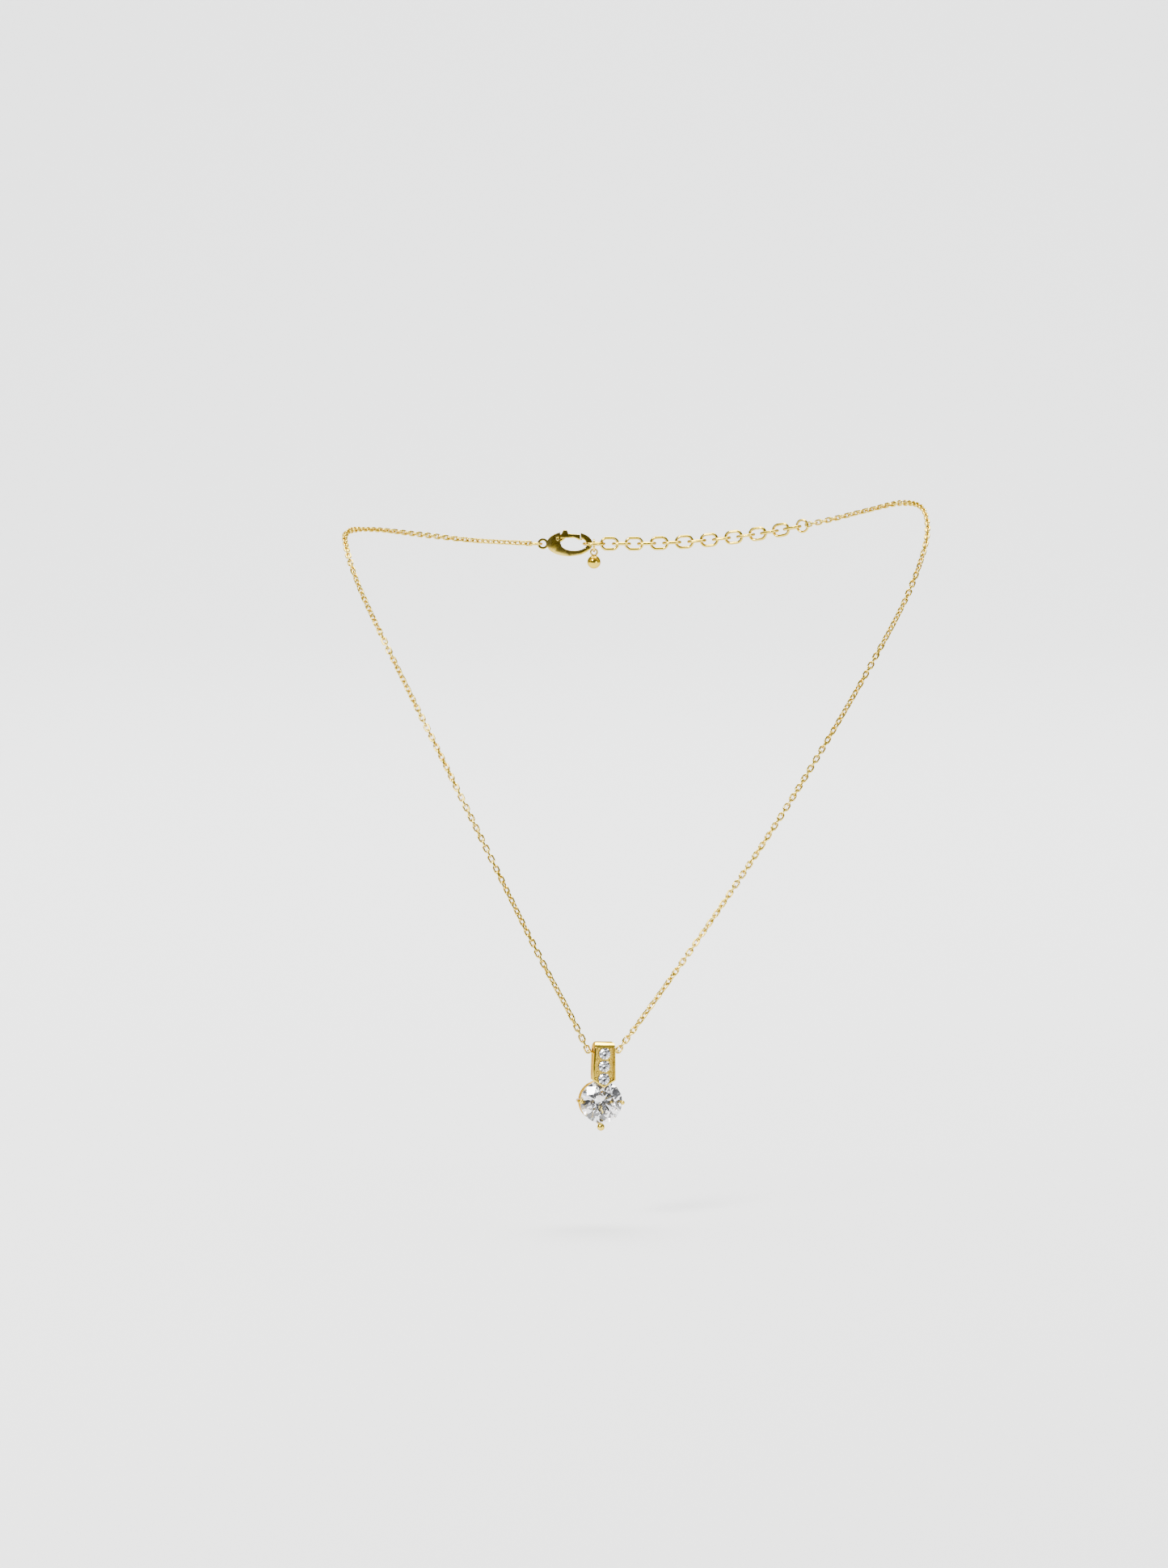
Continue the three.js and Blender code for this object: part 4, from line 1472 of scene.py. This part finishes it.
@dataclass
class NapeRings:
    """The round rings and the oval extender links behind the neck."""

    finishes: Finishes
    nodes: dict[str, Body]
    end_ring: tuple[float, float] = (3.2 * MM, 0.55 * MM)
    catch_ring: tuple[float, float] = (5.2 * MM, 0.7 * MM)
    drop_ring: tuple[float, float] = (3.0 * MM, 0.5 * MM)
    link_length: float = 4.4 * MM
    link_width: float = 3.2 * MM
    link_wire: float = 0.65 * MM
    link_count: int = 16
    seam_width: float = 0.05 * MM

    def ring(self, node: str, body: str, length: float, width: float, wire: float) -> None:
        """Makes one ring or link in the place of its CAD node.

        Args:
            node: the CAD node.
            body: the body that it rides on.
            length: outer length.
            width: outer width.
            wire: wire diameter.
        """
        ring = oval_ring("look_" + node, length, width, wire, 48, 14)
        for vertex in ring.data.vertices:
            if vertex.co.y > 0 and abs(vertex.co.x) < self.seam_width * 4:
                outward = math.copysign(1, vertex.co.y - (width - wire) / 2)
                vertex.co.y += self.seam_width * 0.4 * outward
        ring.data.transform(pose_of(self.nodes[node]))
        finish_piece(shade(ring, 60), self.finishes.gold, body, [node])

    def build(self) -> None:
        """Makes the rings and the extender links."""
        for node in ("end_ring_left", "end_ring_right"):
            self.ring(node, "necklace", self.end_ring[0], *self.end_ring)
        self.ring("catch_ring", "necklace", self.catch_ring[0], *self.catch_ring)
        self.ring("drop_ring", "drop_ring", self.drop_ring[0], *self.drop_ring)
        for number in range(1, self.link_count + 1):
            name = f"extender_link_{number:02d}"
            self.ring(name, "necklace", self.link_length, self.link_width, self.link_wire)


@dataclass
class LobsterClasp:
    """The lobster clasp, drawn from the middle of its eye with its hook towards +X."""

    finishes: Finishes
    origin: Vector
    pivot_from_eye: float
    length: float = 10.4 * MM
    width: float = 5.6 * MM
    thickness: float = 2.0 * MM
    hook_thickness: float = 1.2 * MM
    back: float = 0.8 * MM
    wall: float = 1.3 * MM
    opening_length: float = 5.8 * MM
    opening_height: float = 3.0 * MM
    eye_outer: float = 1.25 * MM
    eye_hole: float = 0.7 * MM
    eye_thickness: float = 1.0 * MM
    gate_end: float = 8.5 * MM
    pivot_height: float = 1.0 * MM
    lever_top: float = 2.2 * MM
    lever_height: float = 0.85 * MM
    lever_knob: float = 0.9 * MM
    lever_thickness: float = 0.8 * MM
    lever_room: float = 0.12 * MM
    rivet: float = 0.6 * MM
    spring_wire: float = 0.16 * MM
    fit: float = 0.05 * MM
    heel_thinning: float = 0.3 * MM
    heel_run: float = 1.5 * MM
    tip_run: float = 1.2 * MM
    gate_gap: float = 0.6 * MM
    pocket_behind: float = 1.1 * MM
    pocket_ahead: float = 1.5 * MM
    pocket_floor: float = -0.35 * MM
    opening_drop: float = -0.1 * MM

    @staticmethod
    def oval(x: float, z: float, length: float, height: float, count: int) -> Outline:
        """The corners of an oval of a length and a height about a middle."""
        turns = [2 * math.pi * i / count for i in range(count)]
        return [(x + length / 2 * math.cos(t), z + height / 2 * math.sin(t)) for t in turns]

    def slab(self, name: str, outline: Outline, thickness: float) -> Body:
        """A plate of the clasp's own middle plane."""
        return prism(name, outline, -thickness / 2, thickness / 2)

    def block(self, near: float, far: float, low: float) -> Outline:
        """The corners of an opening between two x that is open at the top."""
        return [(near, low), (far, low), (far, self.width), (near, self.width)]

    def drill(self, body: Body, x: float, z: float, diameter: float) -> None:
        """Drills a hole through a piece.

        Args:
            body: the piece.
            x: the hole's x.
            z: the hole's z.
            diameter: the hole's diameter.
        """
        hole = lathe("hole", Bail.rod(diameter / 2, -self.width, self.width), 32)
        hole.data.transform(Matrix.Translation((x, 0.0, z)))
        cut(body, hole)

    def body(self) -> None:
        """Makes the body with its opening, gate gap, lever pocket and eye."""
        middle, end = self.back + self.length / 2, self.back + self.length
        outline = self.oval(middle, 0.0, self.length, self.width, 72)
        body = self.slab("look_clasp_body", outline, self.thickness)
        half, tip = self.thickness / 2, self.hook_thickness / 2
        narrow = end - self.wall - self.tip_run
        side = [
            (self.back - MM, half - self.heel_thinning),
            (self.back + self.heel_run, half),
            (middle, half),
            (narrow, tip),
            (end + MM, tip),
        ]
        taper = prism("taper", side + [(x, -y) for x, y in reversed(side)], -self.width, self.width)
        taper.data.transform(Matrix.Rotation(math.pi / 2, 4, "X"))
        cut(body, taper, "INTERSECT")
        eye_half = self.eye_thickness / 2
        eye = lathe("eye", Bail.rod(self.eye_outer, -eye_half, eye_half), 48)
        cut(body, eye, "UNION")
        self.drill(body, 0.0, 0.0, 2 * self.eye_hole)
        centre = end - self.wall - self.opening_length / 2
        opening = self.oval(centre, self.opening_drop, self.opening_length, self.opening_height, 64)
        cut(body, self.slab("opening", opening, 2 * self.width))
        pivot = self.pivot_from_eye
        gap = self.block(pivot + self.gate_gap, self.gate_end, 0.0)
        cut(body, self.slab("gap", gap, 2 * self.width))
        near, far = pivot - self.pocket_behind, pivot + self.pocket_ahead
        pocket = self.block(near, far, self.pocket_floor)
        cut(body, self.slab("pocket", pocket, self.lever_thickness + 2 * self.lever_room))
        self.drill(body, pivot, self.pivot_height, self.rivet + self.fit)
        body = soften(body, 0.16 * MM, 3, 40)
        self.dress(body, self.finishes.gold, "clasp", "clasp_body", 35)

    def lever(self) -> None:
        """Makes the lever with its thumb knob and its nose under the hook."""
        pivot, high = self.pivot_from_eye, self.pivot_height
        end, top = self.gate_end, self.lever_top
        under = top - self.lever_height
        arm = [
            (pivot - 0.55 * MM, high - 0.5 * MM),
            (pivot + MM, high - 0.5 * MM),
            (pivot + 1.9 * MM, under),
            (end - 1.2 * MM, under - 0.05 * MM),
            (end - 0.4 * MM, under - 0.55 * MM),
            (end + 0.35 * MM, under - 0.55 * MM),
            (end + 0.35 * MM, under - 0.3 * MM),
            (end - 0.1 * MM, under - 0.2 * MM),
            (end - 0.1 * MM, top - 0.1 * MM),
            (pivot + 2.4 * MM, top + 0.05 * MM),
            (pivot + 2.1 * MM, top + self.lever_knob),
            (pivot + 1.3 * MM, top + self.lever_knob),
            (pivot + 0.9 * MM, top),
            (pivot - 0.55 * MM, high + 0.6 * MM),
        ]
        lever = self.slab("look_clasp_lever", arm, self.lever_thickness)
        self.drill(lever, pivot, high, self.rivet + 2 * self.fit)
        lever = soften(lever, 0.09 * MM, 3, 25)
        self.dress(lever, self.finishes.gold, "lever", "clasp_lever", 35)

    def small_parts(self) -> None:
        """Makes the rivet and the spring."""
        pivot, high = self.pivot_from_eye, self.pivot_height
        reach = self.thickness / 2 - 0.02 * MM
        rivet = lathe("look_clasp_rivet", Bail.rod(self.rivet / 2, -reach, reach), 32)
        rivet = soften(rivet, 0.06 * MM, 3)
        rivet.data.transform(Matrix.Translation((pivot, 0.0, high)))
        self.dress(rivet, self.finishes.gold, "clasp", "clasp_rivet", 40)
        path = [
            Vector((pivot - 0.9 * MM, 0.0, -0.2 * MM)),
            Vector((pivot - 0.1 * MM, 0.0, -0.16 * MM)),
            Vector((pivot + 0.8 * MM, 0.0, high - 0.5 * MM - self.spring_wire)),
        ]
        line = smooth_route(path, 10)
        spring = tube("look_clasp_spring", line, self.spring_wire / 2, 12)
        self.dress(spring, self.finishes.steel, "clasp", "clasp_spring", 60)

    def dress(
        self,
        piece: Body,
        material: Material,
        body: str,
        node: str,
        angle: float,
    ) -> None:
        """Puts a piece of the clasp in its place and gives it its finish.

        Args:
            piece: the piece.
            material: its finish.
            body: the body that it rides on.
            node: the CAD node that it stands for.
            angle: the sharpest edge that is shaded smooth, in degrees.
        """
        piece.data.transform(Matrix.Translation(self.origin))
        finish_piece(shade(piece, angle), material, body, [node])

    def build(self) -> None:
        """Makes the body, the lever, the rivet and the spring."""
        self.body()
        self.lever()
        self.small_parts()


@dataclass
class EndDrop:
    """The small bead and eye that hang from the drop ring."""

    finishes: Finishes
    hook: Vector
    eye_outer: float = 1.9 * MM
    eye_wire: float = 0.45 * MM
    bead: float = 3.0 * MM
    ring_wire: float = 0.5 * MM
    sink: float = 0.25 * MM
    fit: float = 0.05 * MM

    def build(self) -> None:
        """Makes the eye and the bead as one piece."""
        _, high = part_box("end_drop")
        eye_top = Vector((self.hook.x, self.hook.y, high[2]))
        eye_middle = eye_top - Vector((0.0, 0.0, self.eye_outer / 2))
        drop = oval_ring("look_end_drop", self.eye_outer, self.eye_outer, self.eye_wire, 40, 14)
        drop.data.transform(Matrix.Translation(eye_middle) @ Matrix.Rotation(math.pi / 2, 4, "X"))
        bead_middle = eye_middle - Vector((0.0, 0.0, (self.eye_outer + self.bead) / 2 - self.sink))
        cut(drop, ball("bead", bead_middle, self.bead / 2, 32), "UNION")
        finish_piece(shade(drop, 50), self.finishes.gold, "drop", ["end_drop"])


# ---- Studio -----------------------------------------------------------------------------------


@dataclass
class Studio:
    """The camera, the lights and the pale sweep behind the necklace."""

    finishes: Finishes
    aim: Point = (-0.0118, -0.0451, -0.0477)
    distance: float = 1.3
    elevation: float = 5.0
    lens: float = 142.1
    frame_height: float = 36.0
    surround_strength: float = 0.55
    rise_stops: tuple[tuple[float, Point], ...] = (
        (0.0, (0.04, 0.04, 0.045)),
        (0.3, (0.22, 0.22, 0.23)),
        (0.55, (0.8, 0.8, 0.81)),
        (1.0, (1.0, 1.0, 1.0)),
    )
    room_stops: tuple[tuple[float, Point], ...] = (
        (0.0, (0.2, 0.2, 0.205)),
        (0.5, (1.0, 1.0, 1.0)),
    )
    sweep_near: float = -0.7
    sweep_far: float = 2.8
    sweep_bend: float = 1.0
    sweep_top: float = 3.2
    sweep_half_width: float = 4.0
    floor_gap: float = 0.02

    def camera(self) -> None:
        """Sets the camera at the viewing angle."""
        data = bpy.data.cameras.new("camera")
        data.sensor_fit = "VERTICAL"
        data.sensor_height = self.frame_height
        data.lens = self.lens
        data.clip_end = 20.0
        camera = bpy.data.objects.new("camera", data)
        tilt = math.radians(self.elevation)
        back = Vector((0.0, -math.cos(tilt), math.sin(tilt)))
        camera.location = Vector(self.aim) + back * self.distance
        camera.rotation_euler = (math.pi / 2 - tilt, 0.0, 0.0)
        bpy.context.scene.collection.objects.link(camera)
        bpy.context.scene.camera = camera

    def lamp(
        self,
        name: str,
        place: Point,
        size: float,
        power: float,
        tint: Point = (1.0, 1.0, 1.0),
        target: Point | None = None,
    ) -> None:
        """Adds one soft lamp.

        Args:
            name: the lamp's name.
            place: where it stands.
            size: the side of its square.
            power: its power in watts.
            tint: its colour.
            target: what it looks at, or None for the pendant.
        """
        data = bpy.data.lights.new(name, "AREA")
        data.shape = "SQUARE"
        data.size = size
        data.energy = power
        data.color = tint
        lamp = bpy.data.objects.new(name, data)
        lamp.location = place
        look = Vector(target or self.aim) - Vector(place)
        lamp.rotation_euler = look.to_track_quat("-Z", "Y").to_euler()
        bpy.context.scene.collection.objects.link(lamp)

    def surround(self) -> None:
        """Sets the pale surround with a darker side where the room is open."""
        world = bpy.data.worlds.new("surround")
        bpy.context.scene.world = world
        world.use_nodes = True
        bench = NodeBench(world.node_tree)
        way = bench.add("ShaderNodeTexCoord", output="Generated")
        ramps = []
        for axis, stops in ((2, self.rise_stops), (1, self.room_stops)):
            along = bench.add("ShaderNodeSeparateXYZ", None, {0: way}, axis)
            sockets = {"Fac": along * 0.5 + 0.5}
            ramps.append(bench.add("ShaderNodeValToRGB", {"ramp": stops}, sockets))
        product = {"data_type": "RGBA", "blend_type": "MULTIPLY"}
        tone = bench.add("ShaderNodeMix", product, {0: 1.0, 6: ramps[0], 7: ramps[1]}, 2)
        background = world.node_tree.nodes["Background"]
        world.node_tree.links.new(tone.socket, background.inputs["Color"])
        background.inputs["Strength"].default_value = self.surround_strength

    def sweep(self) -> None:
        """Makes the floor that rises into the backdrop."""
        low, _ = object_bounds()
        floor = low[2] - self.floor_gap
        far, bend, half, steps = self.sweep_far, self.sweep_bend, self.sweep_half_width, 16
        line = [(self.sweep_near, floor), (far - bend, floor)]
        for i in range(1, steps + 1):
            angle = math.pi / 2 * i / steps
            depth = far - bend + bend * math.sin(angle)
            line.append((depth, floor + bend - bend * math.cos(angle)))
        line.append((far, self.sweep_top))
        points = [(x, y, z) for y, z in line for x in (-half, half)]
        faces = [(2 * i, 2 * i + 1, 2 * i + 3, 2 * i + 2) for i in range(len(line) - 1)]
        mesh = bpy.data.meshes.new("sweep")
        mesh.from_pydata(points, [], faces)
        for face in mesh.polygons:
            face.use_smooth = True
        mesh.materials.append(self.finishes.paper)
        sweep = linked("sweep", mesh)
        sweep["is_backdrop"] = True

    def build(self) -> None:
        """Sets the lamps, the surround and the sweep."""
        self.lamp("key", (-0.55, -0.75, 0.7), 0.3, 22.0, (1.0, 0.985, 0.96))
        self.lamp("fill", (0.75, -0.8, 0.0), 0.35, 4.0, (0.96, 0.98, 1.0))
        self.lamp("top", (0.05, 0.25, 1.0), 0.5, 8.0)
        self.lamp("backdrop", (0.0, 1.1, 1.9), 1.8, 178.0, (0.99, 1.0, 1.0), (0.0, 1.6, -0.15))
        self.surround()
        self.sweep()


def joint(frame: dict, name: str) -> dict:
    """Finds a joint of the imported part.

    Args:
        frame: the loaded frame.
        name: the joint's name.

    Returns:
        The joint's entry.
    """
    return next(entry for entry in frame["record"]["behaviour"]["joints"] if entry["name"] == name)


# How the pendant hangs, in degrees, and how the stone sits behind the bail.
PENDANT_LEAN = 2.5
PENDANT_TILT = -3.7
STONE_DIAMETER = 9.0 * MM
STONE_GAP = 0.25 * MM
STONE_SET_BACK = 1.45 * MM


def main() -> None:
    """Builds the necklace."""
    logging.basicConfig(level=logging.INFO, format="%(message)s")
    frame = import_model()
    finishes = Finishes()
    studio = Studio(finishes)
    studio.camera()
    swing = joint(frame, "pendant_swing")
    seat = Vector(swing["pos_m"])
    CableChain(finishes, seat).build()
    yaw = math.atan2(-swing["axis"][1], -swing["axis"][0])
    turn = Matrix.Rotation(yaw, 4, "Z") @ Matrix.Rotation(math.radians(PENDANT_TILT), 4, "X")
    place = Matrix.Translation(seat) @ turn @ Matrix.Rotation(math.radians(PENDANT_LEAN), 4, "Y")
    bail = Bail(finishes, place)
    bail.build()
    girdle_height = bail.foot_bottom - STONE_GAP - STONE_DIAMETER / 2
    girdle = Vector((0.0, STONE_SET_BACK - bail.slot_depth / 2, girdle_height))
    setting = MainSetting(finishes, place @ Matrix.Translation(girdle), 0.0, 0.0, STONE_DIAMETER)
    setting.post_front = bail.strap_back() + bail.fit - girdle.y
    setting.post_height = (bail.foot_bottom - girdle.z + setting.ring_outer()) / 2
    setting.build()
    NapeRings(finishes, frame["nodes"]).build()
    eye = Vector(joint(frame, "clasp_swivel")["pos_m"])
    pivot = Vector(joint(frame, "clasp_lever_open")["pos_m"])
    LobsterClasp(finishes, eye, pivot.x - eye.x).build()
    EndDrop(finishes, Vector(joint(frame, "drop_swing")["pos_m"])).build()
    studio.build()


if __name__ == "__main__":
    main()
